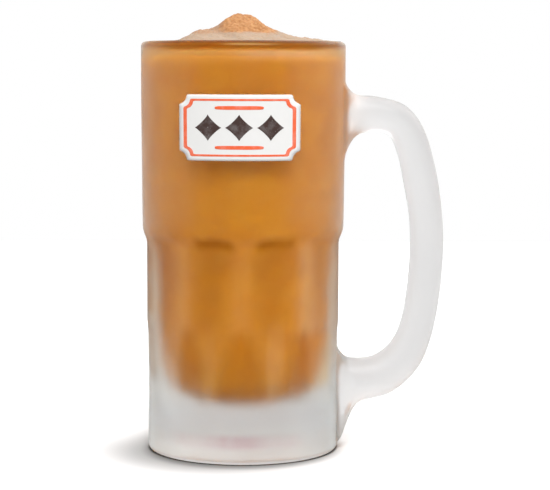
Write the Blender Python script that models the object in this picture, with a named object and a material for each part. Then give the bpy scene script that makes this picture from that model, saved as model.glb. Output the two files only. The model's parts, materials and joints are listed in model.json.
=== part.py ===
"""Root beer milkshake in a heavy frosted mug, modelled in metres with +Z up.

Three solids: the pressed glass mug with its handle, the milkshake that fills it, and the froth
that stands over the rim. The origin is the centre of the mug's flat base. The handle is on +X, the
photographed side faces -Y.
"""
import math

import bmesh
import bpy
import numpy as np

MM = 0.001

# Overall sizes of the glass, in millimetres.
MUG_HEIGHT = 182.5
SEGMENTS = 80
GAP = 0.3

# Plain outer wall: heights and radii of the turned body that the panels are pressed into.
BASE_RADIUS = 42.7
HEEL_RADIUS = 2.2
TAPER_LOW, TAPER_HIGH = 37.0, 57.0
RIDGE_FOOT_RADIUS = 44.8
SHOULDER_HEIGHT, SHOULDER_RADIUS = 104.0, 45.1
BELLY_HEIGHT, BELLY_RADIUS = 158.0, 45.65
LIP_RADIUS = 45.6

# Ten flat panels round the lower half, with a ledge that arches over each and a round base below.
PANELS = 10
PANEL_LOW_APOTHEM, PANEL_APOTHEM = 42.3, 42.75
PANEL_STEP_LOW, PANEL_STEP_HIGH = 53.0, 60.0
PANEL_FOOT_LOW, PANEL_FOOT_HIGH = 12.0, 24.0
PANEL_FOOT_RISE = 1.2
LEDGE_LOW, LEDGE_HIGH = 94.0, 101.5
LEDGE_RISE = 2.6
RIDGE_SOFTNESS = 0.3

# Inside of the glass: a straight taper down to a deep rounded bowl.
LIP_BEAD = 2.15
MOUTH_RADIUS = LIP_RADIUS - 2.0 * LIP_BEAD
BOWL_HEIGHT, BOWL_RADIUS = 74.0, 28.9
FLOOR_HEIGHT = 22.8
BOWL_FULLNESS = 3.1

# Handle: ribs across the grip as (inner x, inner z, outer x, outer z, half depth along y).
HANDLE_RIBS = (
    (42.8, 128.5, 42.8, 165.5, 10.5),
    (45.8, 132.8, 45.9, 161.8, 10.0),
    (50.2, 140.6, 51.0, 159.1, 9.2),
    (57.5, 143.0, 60.0, 158.3, 8.7),
    (65.0, 141.2, 72.3, 154.4, 8.5),
    (69.2, 132.0, 80.6, 144.0, 8.5),
    (71.9, 119.5, 86.2, 125.5, 8.5),
    (74.3, 106.0, 89.1, 106.5, 8.5),
    (75.1, 90.0, 89.8, 89.0, 8.5),
    (73.7, 71.5, 88.3, 69.0, 8.5),
    (71.0, 57.0, 84.8, 50.3, 8.5),
    (66.0, 47.0, 78.8, 36.1, 8.6),
    (57.5, 41.2, 67.3, 25.4, 9.0),
    (47.5, 40.8, 53.5, 21.2, 9.6),
    (41.7, 43.8, 49.0, 17.0, 8.6),
    (39.6, 28.0, 46.5, 8.9, 6.2),
    (39.0, 12.0, 42.6, 2.9, 3.2),
)
HANDLE_RINGS = 52
HANDLE_SIDES = 18
HANDLE_SQUARENESS = 2.4

# Milkshake and froth.
DRINK_LEVEL = 176.0
FROTH_EDGE_RADIUS = 40.9
FROTH_EDGE_HEIGHT, FROTH_TILT = 181.2, 1.4
FROTH_RINGS, FROTH_SEGMENTS = 16, 60
# Mounds of the froth as (rise, centre x, centre y, spread along x, spread along y).
FROTH_MOUNDS = (
    (7.6, -1.0, 0.0, 19.0, 17.0),
    (6.8, -0.8, -1.0, 7.8, 8.0),
    (2.6, -22.0, -3.0, 5.5, 9.0),
)
# Ripples over the mounds as (height, waves per millimetre along x, along y, phase).
FROTH_RIPPLES = (
    (0.35, 0.071, 0.043, 0.4),
    (0.28, -0.052, 0.097, 2.1),
    (0.22, 0.118, 0.064, 4.4),
)


def clear_scene():
    """Empties the scene so that the part starts from nothing."""
    for item in list(bpy.data.objects):
        bpy.data.objects.remove(item, do_unlink=True)


def make_material(name, colour, roughness, transmission=0.0):
    """Returns a Principled material; nothing on this part is metallic."""
    material = bpy.data.materials.new(name)
    material.use_nodes = True
    shader = material.node_tree.nodes["Principled BSDF"]
    shader.inputs["Base Color"].default_value = (*colour, 1.0)
    shader.inputs["Roughness"].default_value = roughness
    shader.inputs["Metallic"].default_value = 0.0
    shader.inputs["Transmission Weight"].default_value = transmission
    material.diffuse_color = (*colour, 1.0)
    return material


def mesh_object(name, bm, material=None):
    """Turns a bmesh in millimetres into a smooth shaded object in metres."""
    bmesh.ops.scale(bm, vec=(MM, MM, MM), verts=bm.verts)
    bmesh.ops.recalc_face_normals(bm, faces=bm.faces)
    mesh = bpy.data.meshes.new(name)
    bm.to_mesh(mesh)
    bm.free()
    mesh.shade_smooth()
    mesh.set_sharp_from_angle(angle=math.radians(32.0))
    if material:
        mesh.materials.append(material)
    item = bpy.data.objects.new(name, mesh)
    bpy.context.collection.objects.link(item)
    return item


def smooth_step(low, high, value):
    """Rises from 0 at low to 1 at high with flat ends."""
    t = np.clip((value - low) / (high - low), 0.0, 1.0)
    return t * t * (3.0 - 2.0 * t)


def ridge_radius(z):
    """Radius of the plain turned wall, which the ridges between the panels keep."""
    heights = (TAPER_LOW, TAPER_HIGH, SHOULDER_HEIGHT, BELLY_HEIGHT, MUG_HEIGHT - LIP_BEAD)
    radii = (BASE_RADIUS, RIDGE_FOOT_RADIUS, SHOULDER_RADIUS, BELLY_RADIUS, LIP_RADIUS)
    return np.interp(z, heights, radii)


def panel_apothem(z):
    """Distance from the axis to a panel's face; it leaves the wall over the ledge and at the base."""
    low = smooth_step(PANEL_STEP_LOW, PANEL_STEP_HIGH, z)
    ledge = smooth_step(LEDGE_LOW, LEDGE_HIGH, z)
    foot = 1.0 - smooth_step(PANEL_FOOT_LOW, PANEL_FOOT_HIGH, z)
    face = PANEL_LOW_APOTHEM + (PANEL_APOTHEM - PANEL_LOW_APOTHEM) * low
    return face + LEDGE_RISE * ledge + PANEL_FOOT_RISE * foot


def wall_radius(z, angle):
    """Outer radius at a height and an angle: the soft minimum of the wall and the panel's plane."""
    plain = ridge_radius(z)
    if z > LEDGE_HIGH:
        return plain
    pitch = 2.0 * math.pi / PANELS
    # A ridge faces the photograph at -Y, so the first panel's centre is half a pitch from it.
    from_ridge = (angle + math.pi / 2.0) % pitch
    panel = panel_apothem(z) / math.cos(from_ridge - pitch / 2.0)
    nearer = min(plain, panel)
    soft = math.exp((nearer - plain) / RIDGE_SOFTNESS) + math.exp((nearer - panel) / RIDGE_SOFTNESS)
    return nearer - RIDGE_SOFTNESS * math.log(soft)


def cavity_radius(z, inset=0.0):
    """Inner radius of the glass at a height, less an inset for what stands inside it."""
    if z >= BOWL_HEIGHT:
        rise = (z - BOWL_HEIGHT) / (MUG_HEIGHT - LIP_BEAD - BOWL_HEIGHT)
        return BOWL_RADIUS + (MOUTH_RADIUS - BOWL_RADIUS) * rise - inset
    depth = (BOWL_HEIGHT - z) / (BOWL_HEIGHT - FLOOR_HEIGHT - inset)
    return (BOWL_RADIUS - inset) * max(0.0, 1.0 - depth ** BOWL_FULLNESS) ** (1.0 / BOWL_FULLNESS)


def bowl_profile(inset, rows=9):
    """Points of the bowl from the axis at the floor out to the foot of the straight taper."""
    points = []
    for row in range(rows + 1):
        turn = 0.5 * math.pi * row / rows
        radius = (BOWL_RADIUS - inset) * math.sin(turn) ** (2.0 / BOWL_FULLNESS)
        drop = (BOWL_HEIGHT - FLOOR_HEIGHT - inset) * math.cos(turn) ** (2.0 / BOWL_FULLNESS)
        points.append((radius, BOWL_HEIGHT - drop))
    return points


def outer_profile():
    """Points of the outer wall from the axis under the base up to the foot of the lip bead."""
    points = [(0.0, 0.0), (20.0, 0.0)]
    for step in range(4):
        turn = 0.5 * math.pi * step / 3.0
        radius = BASE_RADIUS - HEEL_RADIUS * (1.0 - math.sin(turn))
        points.append((radius, HEEL_RADIUS * (1.0 - math.cos(turn))))
    rows = (PANEL_FOOT_LOW, 18.0, PANEL_FOOT_HIGH, TAPER_LOW, 41.0, 45.0, 49.0, 52.5, 55.0, TAPER_HIGH,
            60.0, 76.0, LEDGE_LOW, 95.5, 97.0, 98.5, 100.0, LEDGE_HIGH, SHOULDER_HEIGHT, 140.0,
            BELLY_HEIGHT)
    points.extend((float(ridge_radius(z)), z) for z in rows)
    return points


def lip_profile(steps=8):
    """Half circle of the lip bead, from the outer wall over the top to the mouth."""
    centre = LIP_RADIUS - LIP_BEAD
    points = []
    for step in range(steps + 1):
        turn = math.pi * step / steps
        height = MUG_HEIGHT - LIP_BEAD + LIP_BEAD * math.sin(turn)
        points.append((centre + LIP_BEAD * math.cos(turn), height))
    return points


def lathe(points):
    """Spins a profile of (radius, height) once round the Z axis into a closed bmesh."""
    bm = bmesh.new()
    chain = [bm.verts.new((radius, 0.0, height)) for radius, height in points]
    edges = [bm.edges.new(pair) for pair in zip(chain, chain[1:])]
    bmesh.ops.spin(bm, geom=chain + edges, cent=(0.0, 0.0, 0.0), axis=(0.0, 0.0, 1.0),
                   angle=2.0 * math.pi, steps=SEGMENTS, use_merge=False)
    bmesh.ops.remove_doubles(bm, verts=bm.verts, dist=0.001)
    return bm


def press_panels(bm):
    """Moves the outer wall's points in to the panels' planes."""
    for vert in bm.verts:
        radius = math.hypot(vert.co.x, vert.co.y)
        height = vert.co.z
        if HEEL_RADIUS < height < LEDGE_HIGH and radius > BOWL_RADIUS + GAP:
            pressed = wall_radius(height, math.atan2(vert.co.y, vert.co.x))
            vert.co.x *= pressed / radius
            vert.co.y *= pressed / radius


def spline_rows(rows, count):
    """Catmull-Rom curve through rows of numbers, read at count even steps from end to end."""
    rows = np.asarray(rows, dtype=float)
    padded = np.vstack((2.0 * rows[0] - rows[1], rows, 2.0 * rows[-1] - rows[-2]))
    place = np.linspace(0.0, len(rows) - 1.0, count)
    span = np.minimum(place.astype(int), len(rows) - 2)
    t = (place - span)[:, None]
    p0, p1, p2, p3 = (padded[span + shift] for shift in range(4))
    return 0.5 * (2.0 * p1 + (p2 - p0) * t + (2.0 * p0 - 5.0 * p1 + 4.0 * p2 - p3) * t ** 2
                  + (3.0 * p1 - p0 - 3.0 * p2 + p3) * t ** 3)


def handle_bmesh():
    """Lofts a rounded section over the ribs, from inside the wall to the tail above the heel."""
    bm = bmesh.new()
    rings = []
    power = 2.0 / HANDLE_SQUARENESS
    for inner_x, inner_z, outer_x, outer_z, depth in spline_rows(HANDLE_RIBS, HANDLE_RINGS):
        middle = ((inner_x + outer_x) / 2.0, (inner_z + outer_z) / 2.0)
        half = ((outer_x - inner_x) / 2.0, (outer_z - inner_z) / 2.0)
        ring = []
        for side in range(HANDLE_SIDES):
            turn = 2.0 * math.pi * side / HANDLE_SIDES
            across = math.copysign(abs(math.cos(turn)) ** power, math.cos(turn))
            along = math.copysign(abs(math.sin(turn)) ** power, math.sin(turn))
            ring.append(bm.verts.new((middle[0] + half[0] * across, depth * along,
                                      middle[1] + half[1] * across)))
        rings.append(ring)
    for low, high in zip(rings, rings[1:]):
        for side in range(HANDLE_SIDES):
            after = (side + 1) % HANDLE_SIDES
            bm.faces.new((low[side], low[after], high[after], high[side]))
    bm.faces.new(rings[0])
    bm.faces.new(reversed(rings[-1]))
    return bm


def froth_height(x, y):
    """Height of the froth's surface: a tilted level, mounds over it and shallow ripples."""
    height = FROTH_EDGE_HEIGHT + FROTH_TILT * x / FROTH_EDGE_RADIUS
    for rise, centre_x, centre_y, spread_x, spread_y in FROTH_MOUNDS:
        away = ((x - centre_x) / spread_x) ** 2 + ((y - centre_y) / spread_y) ** 2
        height += rise * math.exp(-0.5 * away)
    inside = 1.0 - (math.hypot(x, y) / FROTH_EDGE_RADIUS) ** 4
    for size, along_x, along_y, phase in FROTH_RIPPLES:
        height += size * inside * math.sin(2.0 * math.pi * (along_x * x + along_y * y) + phase)
    return height


def make_mug(material):
    """Turned body with pressed panels, joined to the handle by a Boolean union."""
    bm = lathe(outer_profile() + lip_profile() + list(reversed(bowl_profile(0.0))))
    press_panels(bm)
    mug = mesh_object("glass_mug", bm, material)
    handle = mesh_object("handle_blank", handle_bmesh(), material)
    handle.hide_render = True
    handle.display_type = "WIRE"
    union = mug.modifiers.new("join_handle", "BOOLEAN")
    union.operation = "UNION"
    union.solver = "EXACT"
    union.object = handle
    return mug


def make_milkshake(material):
    """Fills the cavity up to the level where the froth begins."""
    top = (cavity_radius(DRINK_LEVEL, GAP), DRINK_LEVEL)
    middle = [(cavity_radius(z, GAP), z) for z in (100.0, 140.0)]
    return mesh_object("milkshake", lathe(bowl_profile(GAP) + middle + [top, (0.0, DRINK_LEVEL)]),
                       material)


def make_froth(material):
    """Grid of rings under the froth's height, closed by a straight side and a flat underside."""
    bm = bmesh.new()
    low = DRINK_LEVEL + GAP
    peak = bm.verts.new((0.0, 0.0, froth_height(0.0, 0.0)))
    turns = [2.0 * math.pi * side / FROTH_SEGMENTS for side in range(FROTH_SEGMENTS)]
    rings = []
    for ring in range(1, FROTH_RINGS + 1):
        radius = FROTH_EDGE_RADIUS * ring / FROTH_RINGS
        places = [(radius * math.cos(turn), radius * math.sin(turn)) for turn in turns]
        rings.append([bm.verts.new((x, y, froth_height(x, y))) for x, y in places])
    foot = cavity_radius(low, GAP)
    rings.append([bm.verts.new((foot * math.cos(turn), foot * math.sin(turn), low)) for turn in turns])
    for inner, outer in zip(rings, rings[1:]):
        for side in range(FROTH_SEGMENTS):
            after = (side + 1) % FROTH_SEGMENTS
            bm.faces.new((inner[side], outer[side], outer[after], inner[after]))
    for side in range(FROTH_SEGMENTS):
        bm.faces.new((peak, rings[0][side], rings[0][(side + 1) % FROTH_SEGMENTS]))
    bm.faces.new(reversed(rings[-1]))
    return mesh_object("froth", bm, material)


def main():
    """Builds the mug, the milkshake and the froth."""
    clear_scene()
    make_mug(make_material("frosted_glass", (0.82, 0.82, 0.80), 0.45, transmission=0.7))
    make_milkshake(make_material("milkshake", (0.60, 0.24, 0.06), 0.4))
    make_froth(make_material("froth", (0.72, 0.42, 0.22), 0.6))


main()
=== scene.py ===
"""Looks of a root beer milkshake in a heavy frosted mug.

Every piece is a grid surface worked out in numpy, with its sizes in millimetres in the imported
part's own frame: the mug's axis is Z, the table is at z = 0, the handle is on +X and the
photographed side faces -Y. Meshes are scaled to metres as they are made.
"""

import json
import logging
import math
from dataclasses import dataclass, field
from enum import Enum
from functools import reduce
from typing import List, Optional, Sequence, Tuple

import bpy
import numpy as np
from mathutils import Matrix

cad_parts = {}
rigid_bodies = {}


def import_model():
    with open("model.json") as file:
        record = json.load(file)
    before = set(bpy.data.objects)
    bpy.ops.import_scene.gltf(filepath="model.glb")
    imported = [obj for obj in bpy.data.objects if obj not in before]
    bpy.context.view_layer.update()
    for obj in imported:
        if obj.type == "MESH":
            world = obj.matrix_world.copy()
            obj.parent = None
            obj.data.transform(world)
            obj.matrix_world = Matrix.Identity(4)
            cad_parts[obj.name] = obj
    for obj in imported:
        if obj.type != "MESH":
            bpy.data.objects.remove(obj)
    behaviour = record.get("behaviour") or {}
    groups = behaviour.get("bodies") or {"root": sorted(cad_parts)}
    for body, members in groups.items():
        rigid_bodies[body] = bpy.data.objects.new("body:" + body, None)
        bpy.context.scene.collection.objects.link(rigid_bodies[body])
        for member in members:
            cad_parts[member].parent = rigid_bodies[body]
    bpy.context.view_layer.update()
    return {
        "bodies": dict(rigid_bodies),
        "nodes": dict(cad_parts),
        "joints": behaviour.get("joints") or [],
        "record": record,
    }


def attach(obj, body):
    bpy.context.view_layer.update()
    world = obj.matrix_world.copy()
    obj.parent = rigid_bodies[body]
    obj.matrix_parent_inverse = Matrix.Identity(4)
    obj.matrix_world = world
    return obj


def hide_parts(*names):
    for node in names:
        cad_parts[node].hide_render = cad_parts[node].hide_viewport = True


LOG = logging.getLogger("milkshake")
MM = 0.001
TAU = 2.0 * math.pi
# name of the mesh's colour and alpha for the skin, which carry painted shade and painted light
TINT = "frost_and_shade_tint"

# a span has two ends; a gate says where a window begins, is full, fades and ends
Colour = Tuple[float, float, float]
Place = Tuple[float, float, float]
Span = Tuple[float, float]
Gate = Tuple[float, float, float, float]
Socket = bpy.types.NodeSocket

# ranges of a noise's values that are read: nearly all of them, and their core
NOISE_SPAN: Span = (0.3, 0.7)
NOISE_CORE: Span = (0.35, 0.65)
# open ends of a gate, and the heights of the base and among the panels that patches share
FROM_START: Span = (-2.0, -1.0)
TO_END: Span = (1000.0, 1001.0)
BASE_HEIGHTS: Gate = (*FROM_START, 14.0, 22.0)
GAP_HEIGHTS: Gate = (26.0, 34.0, 54.0, 66.0)
SIDE_HEIGHTS: Gate = (44.0, 62.0, 82.0, 100.0)
PANEL_HEIGHTS: Gate = (50.0, 60.0, 92.0, 98.0)
# exponents of the printed outlines, and a scooped corner's radius over half the height
DIAMOND_POWER = 0.85
BAR_POWER = 5.0
SCOOP = 0.28


def smooth_step(low: float, high: float, value: np.ndarray) -> np.ndarray:
    """Rises from 0 at low to 1 at high with flat ends: 3t squared less 2t cubed.

    Args:
        low: Value where the rise begins.
        high: Value where it ends.
        value: Numbers to place on the rise.

    Returns:
        Numbers from 0 to 1.
    """
    t = np.clip((np.asarray(value, dtype=float) - low) / (high - low), 0.0, 1.0)
    return t * t * (3.0 - 2.0 * t)


def window(value: np.ndarray, rise: float, full: float, fall: float, end: float) -> np.ndarray:
    """Rises from 0 to 1 between the first two places and falls back between the last two."""
    return smooth_step(rise, full, value) * (1.0 - smooth_step(fall, end, value))


def mixed(first: np.ndarray, second: np.ndarray, share: np.ndarray) -> np.ndarray:
    """Blends colours: the first plus the share of the way to the second."""
    first = np.asarray(first, dtype=float)
    return first + share[..., None] * (np.asarray(second, dtype=float) - first)


def bell(value: np.ndarray, middle: np.ndarray, spread: float) -> np.ndarray:
    """Falls off on both sides of a middle: e to minus the square of the distance over the spread."""
    return np.exp(-((value - middle) / spread) ** 2)


def round_axis(radius: np.ndarray, angle: np.ndarray, z: np.ndarray) -> np.ndarray:
    """Points at a radius, an angle and a height: x is radius cos angle and y is radius sin angle."""
    return np.stack(np.broadcast_arrays(radius * np.cos(angle), radius * np.sin(angle), z), axis=-1)


def soft_minimum(first: np.ndarray, second: np.ndarray, softness: float) -> np.ndarray:
    """Smaller of two numbers with the crossing rounded off.

    The result is the smaller one less softness times log(1 + exp(-gap / softness)).

    Args:
        first: One set of numbers.
        second: The other set.
        softness: Width of the rounding, in the numbers' own unit.

    Returns:
        The rounded minimum.
    """
    gap = np.abs(first - second)
    return np.minimum(first, second) - softness * np.log1p(np.exp(-gap / softness))


def spline_rows(rows: np.ndarray, place: np.ndarray) -> np.ndarray:
    """Catmull-Rom curve through rows of numbers.

    Args:
        rows: Control rows, one for each whole number of place.
        place: Where to read the curve, from 0 to the last row's number.

    Returns:
        One row of numbers for each place.
    """
    padded = np.vstack((2.0 * rows[0] - rows[1], rows, 2.0 * rows[-1] - rows[-2]))
    span = np.minimum(place.astype(int), len(rows) - 2)
    t = (place - span)[:, None]
    p0, p1, p2, p3 = (padded[span + shift] for shift in range(4))
    bend = 2.0 * p0 - 5.0 * p1 + 4.0 * p2 - p3
    twist = 3.0 * p1 - p0 - 3.0 * p2 + p3
    return 0.5 * (2.0 * p1 + (p2 - p0) * t + bend * t ** 2 + twist * t ** 3)


def lattice_noise(x: np.ndarray, y: np.ndarray, seed: int) -> np.ndarray:
    """Smooth noise: random values on a square lattice, blended by the smooth step.

    Args:
        x: Coordinates along one side, one lattice cell to the unit.
        y: Coordinates along the other.
        seed: Seed of the random values.

    Returns:
        Numbers from -1 to 1.
    """
    size = 64
    values = np.random.default_rng(seed).uniform(-1.0, 1.0, (size, size))
    left, low = np.floor(x).astype(int), np.floor(y).astype(int)
    across, up = smooth_step(0.0, 1.0, x - left), smooth_step(0.0, 1.0, y - low)
    corner = [values[(left + i) % size, (low + j) % size] for i in (0, 1) for j in (0, 1)]
    near = corner[0] * (1.0 - up) + corner[1] * up
    far = corner[2] * (1.0 - up) + corner[3] * up
    return near * (1.0 - across) + far * across


@dataclass
class Surface:
    """Vertices and faces of one piece, in millimetres.

    Attributes:
        points: Array of vertex positions.
        quads: Faces of four corners.
        triangles: Faces of three corners, used round a pole.
        tint: A colour for each vertex that its material reads, or nothing.
    """

    points: np.ndarray
    quads: np.ndarray
    triangles: np.ndarray = field(default_factory=lambda: np.zeros((0, 3), dtype=int))
    tint: Optional[np.ndarray] = None

    def pruned(self) -> "Surface":
        """Leaves out the points that no face uses.

        Returns:
            The surface that is left.
        """
        used = np.unique(np.concatenate((self.quads.ravel(), self.triangles.ravel())))
        number = np.zeros(len(self.points), dtype=int)
        number[used] = np.arange(len(used))
        tint = None if self.tint is None else self.tint[used]
        return Surface(self.points[used], number[self.quads], number[self.triangles], tint)

    def beside(self, other: "Surface") -> "Surface":
        """Joins another surface to this one.

        Args:
            other: The other surface.

        Returns:
            One surface that holds both.
        """
        shift = len(self.points)
        points = np.vstack((self.points, other.points))
        return Surface(points, np.vstack((self.quads, other.quads + shift)),
                       np.vstack((self.triangles, other.triangles + shift)))

    def to_object(self, name: str, finish: bpy.types.Material) -> bpy.types.Object:
        """Puts the surface into a smooth shaded mesh object at the origin.

        Args:
            name: The object's name.
            finish: Its material.

        Returns:
            The new object, linked to the scene, in metres.
        """
        corners = np.concatenate((self.quads.ravel(), self.triangles.ravel())).astype(np.int32)
        sizes = np.concatenate((np.full(len(self.quads), 4), np.full(len(self.triangles), 3)))
        starts = np.concatenate(([0], np.cumsum(sizes)[:-1])).astype(np.int32)
        mesh = bpy.data.meshes.new(name)
        mesh.vertices.add(len(self.points))
        mesh.vertices.foreach_set("co", (self.points * MM).astype(np.float32).ravel())
        mesh.loops.add(len(corners))
        mesh.loops.foreach_set("vertex_index", corners)
        mesh.polygons.add(len(sizes))
        mesh.polygons.foreach_set("loop_start", starts)
        mesh.update(calc_edges=True)
        mesh.validate()
        mesh.shade_smooth()
        if self.tint is not None:
            colours = mesh.attributes.new(TINT, "FLOAT_COLOR", "POINT").data
            colours.foreach_set("color", self.tint.astype(np.float32).ravel())
        mesh.materials.append(finish)
        piece = bpy.data.objects.new(name, mesh)
        bpy.context.scene.collection.objects.link(piece)
        return piece


def strip_faces(ids: np.ndarray, wrap: bool) -> np.ndarray:
    """Faces between neighbouring rows of vertex numbers.

    Args:
        ids: Vertex numbers, row by row.
        wrap: Whether the last column joins the first.

    Returns:
        A block of faces of four corners, one for each cell.
    """
    here = ids if wrap else ids[:, :-1]
    after = np.roll(ids, -1, axis=1) if wrap else ids[:, 1:]
    return np.stack((here[:-1], after[:-1], after[1:], here[1:]), axis=-1)


def close_poles(points: np.ndarray, cells: Optional[np.ndarray] = None) -> Surface:
    """Closes a wrapped grid whose first and last rows each lie at one place.

    The end rows become single points, and the cells beside them become fans of triangles.

    Args:
        points: Grid points, rows by columns by 3.
        cells: Which cells to keep, rows less one by columns; all of them when left out.

    Returns:
        The surface; the point of a row and column has the number (row - 1) * columns + column.
    """
    rows, columns = points.shape[:2]
    ids = np.arange(rows * columns).reshape(rows, columns) - columns
    low, high = (rows - 2) * columns, (rows - 2) * columns + 1
    faces = strip_faces(ids, wrap=True)
    low_fan, high_fan = faces[0][:, [0, 2, 3]], faces[-1][:, [0, 1, 2]]
    low_fan[:, 0], high_fan[:, 2] = low, high
    middle = faces[1:-1] if cells is None else faces[1:-1][cells[1:-1]]
    inner = points[1:-1].reshape(-1, 3)
    return Surface(np.vstack((inner, points[0, :1], points[-1, :1])), middle.reshape(-1, 4),
                   np.vstack((low_fan, high_fan)))


def turned(radii: np.ndarray, heights: np.ndarray, columns: int) -> np.ndarray:
    """Turns a profile once round the axis.

    Args:
        radii: The profile's radii, from 0 at the low end to 0 at the high end.
        heights: The profile's heights.
        columns: Steps round the axis.

    Returns:
        Grid points, rows by columns by 3.
    """
    return round_axis(radii[:, None], np.arange(columns) * TAU / columns, heights[:, None])


class Shader:
    """Small writer of node trees, which keeps a material's recipe readable."""

    def __init__(self, tree: bpy.types.NodeTree) -> None:
        """Starts from an empty tree."""
        self.tree = tree
        tree.nodes.clear()

    def node(self, kind: str, **inputs: object) -> bpy.types.Node:
        """Adds a node and fills its sockets.

        Args:
            kind: Blender's name for the node type.
            **inputs: Values or output sockets by socket name, with spaces as underscores.

        Returns:
            The node.
        """
        made = self.tree.nodes.new(kind)
        for name, value in inputs.items():
            self.set(made.inputs[name.replace("_", " ")], value)
        return made

    def set(self, socket: Socket, value: object) -> None:
        """Links an output socket to an input, or gives the input a constant.

        Args:
            socket: The input.
            value: A socket, a number, a vector or a colour.
        """
        if isinstance(value, Socket):
            self.tree.links.new(value, socket)
        elif isinstance(value, tuple) and len(value) == 3 and socket.type == "RGBA":
            socket.default_value = (*value, 1.0)
        else:
            socket.default_value = value

    def object_coordinates(self) -> Socket:
        """Returns the Object output of a Texture Coordinate node."""
        return self.node("ShaderNodeTexCoord").outputs["Object"]

    def noise(self, vector: Socket, size_mm: float, detail: float = 2.0,
              roughness: float = 0.5) -> Socket:
        """Adds fractal noise.

        Args:
            vector: Coordinates in metres.
            size_mm: Size of the noise's largest features.
            detail: Octaves past the first.
            roughness: Share of the finer octaves.

        Returns:
            The noise's Fac output.
        """
        made = self.node("ShaderNodeTexNoise", Vector=vector, Scale=1.0 / (size_mm * MM),
                         Detail=detail, Roughness=roughness)
        return made.outputs["Fac"]

    def remap(self, value: Socket, low: float, high: float, to_low: float = 0.0,
              to_high: float = 1.0, smooth: bool = False) -> Socket:
        """Maps a range of numbers onto another and clamps it.

        Args:
            value: The numbers.
            low: Lower end of the range that is read.
            high: Upper end of that range.
            to_low: What the lower end becomes.
            to_high: What the upper end becomes.
            smooth: Whether the ends are eased.

        Returns:
            The mapped output.
        """
        made = self.tree.nodes.new("ShaderNodeMapRange")
        made.interpolation_type = "SMOOTHSTEP" if smooth else "LINEAR"
        self.set(made.inputs["Value"], value)
        for name, number in (("From Min", low), ("From Max", high), ("To Min", to_low),
                             ("To Max", to_high)):
            made.inputs[name].default_value = number
        return made.outputs["Result"]

    def between(self, value: Socket, gate: Gate) -> Socket:
        """Adds a window: 0, then 1 between the gate's two middle places, then 0 again."""
        return self.product(self.remap(value, *gate[:2], smooth=True),
                            self.remap(value, *gate[2:], 1.0, 0.0, smooth=True))

    def mix(self, share: Socket, first: object, second: object) -> Socket:
        """Blends two colours.

        Args:
            share: Share of the second, from 0 to 1.
            first: The first colour.
            second: The second colour.

        Returns:
            The blend's socket.
        """
        made = self.tree.nodes.new("ShaderNodeMix")
        made.data_type = "RGBA"
        self.set(made.inputs[0], share)
        self.set(made.inputs[6], first)
        self.set(made.inputs[7], second)
        return made.outputs[2]

    def step(self, kind: str, operation: str, *inputs: object) -> bpy.types.Node:
        """Adds one step of arithmetic.

        Args:
            kind: Blender's name for the node type, of numbers or of vectors.
            operation: Its name for the operation.
            *inputs: Numbers, vectors or sockets, in the node's order.

        Returns:
            The node.
        """
        made = self.tree.nodes.new(kind)
        made.operation = operation
        for socket, value in zip(made.inputs, inputs):
            self.set(socket, value)
        return made

    def math(self, operation: str, first: object, second: object = 0.0) -> Socket:
        """Adds one step between two numbers or sockets."""
        return self.step("ShaderNodeMath", operation, first, second).outputs[0]

    def product(self, *factors: object) -> Socket:
        """Multiplies numbers and sockets, one after the other."""
        return reduce(lambda result, factor: self.math("MULTIPLY", result, factor), factors)

    def scaled(self, vector: Socket, factors: Socket) -> Socket:
        """Multiplies two vectors number by number."""
        return self.step("ShaderNodeVectorMath", "MULTIPLY", vector, factors).outputs["Vector"]

    def axis(self, place: Socket, name: str) -> Socket:
        """Returns a place's X, Y or Z in millimetres."""
        parts = self.node("ShaderNodeSeparateXYZ", Vector=place)
        return self.product(parts.outputs[name], 1.0 / MM)

    def distance(self, place: Socket, shift: Place = (0.0, 0.0, 0.0),
                 weights: Place = (1.0, 1.0, 1.0)) -> Socket:
        """Adds a distance in millimetres: the length of the place times the weights, plus the shift.

        Args:
            place: The place, in metres.
            shift: What is added to it, in millimetres.
            weights: What its three numbers are multiplied by first.

        Returns:
            The distance's socket.
        """
        scale = [weight / MM for weight in weights]
        moved = self.step("ShaderNodeVectorMath", "MULTIPLY_ADD", place, scale, shift)
        return self.step("ShaderNodeVectorMath", "LENGTH", moved.outputs["Vector"]).outputs["Value"]

    def bump(self, height: Socket, depth_mm: float, strength: float) -> Socket:
        """Adds a bump.

        Args:
            height: Heights from 0 to 1.
            depth_mm: Depth that the full range stands for.
            strength: Share of the bump that is used.

        Returns:
            The Normal output.
        """
        made = self.node("ShaderNodeBump", Strength=strength, Distance=depth_mm * MM, Height=height)
        return made.outputs["Normal"]

    def finish(self, **inputs: object) -> None:
        """Ends the material with a Principled shader, whose sockets are filled as in node."""
        shader = self.node("ShaderNodeBsdfPrincipled", **inputs)
        self.node("ShaderNodeOutputMaterial", Surface=shader.outputs[0])


def new_material(name: str) -> Tuple[bpy.types.Material, Shader]:
    """Makes an empty node material.

    Args:
        name: Its name.

    Returns:
        The material and the writer of its tree.
    """
    material = bpy.data.materials.new(name)
    material.use_nodes = True
    return material, Shader(material.node_tree)


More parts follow.
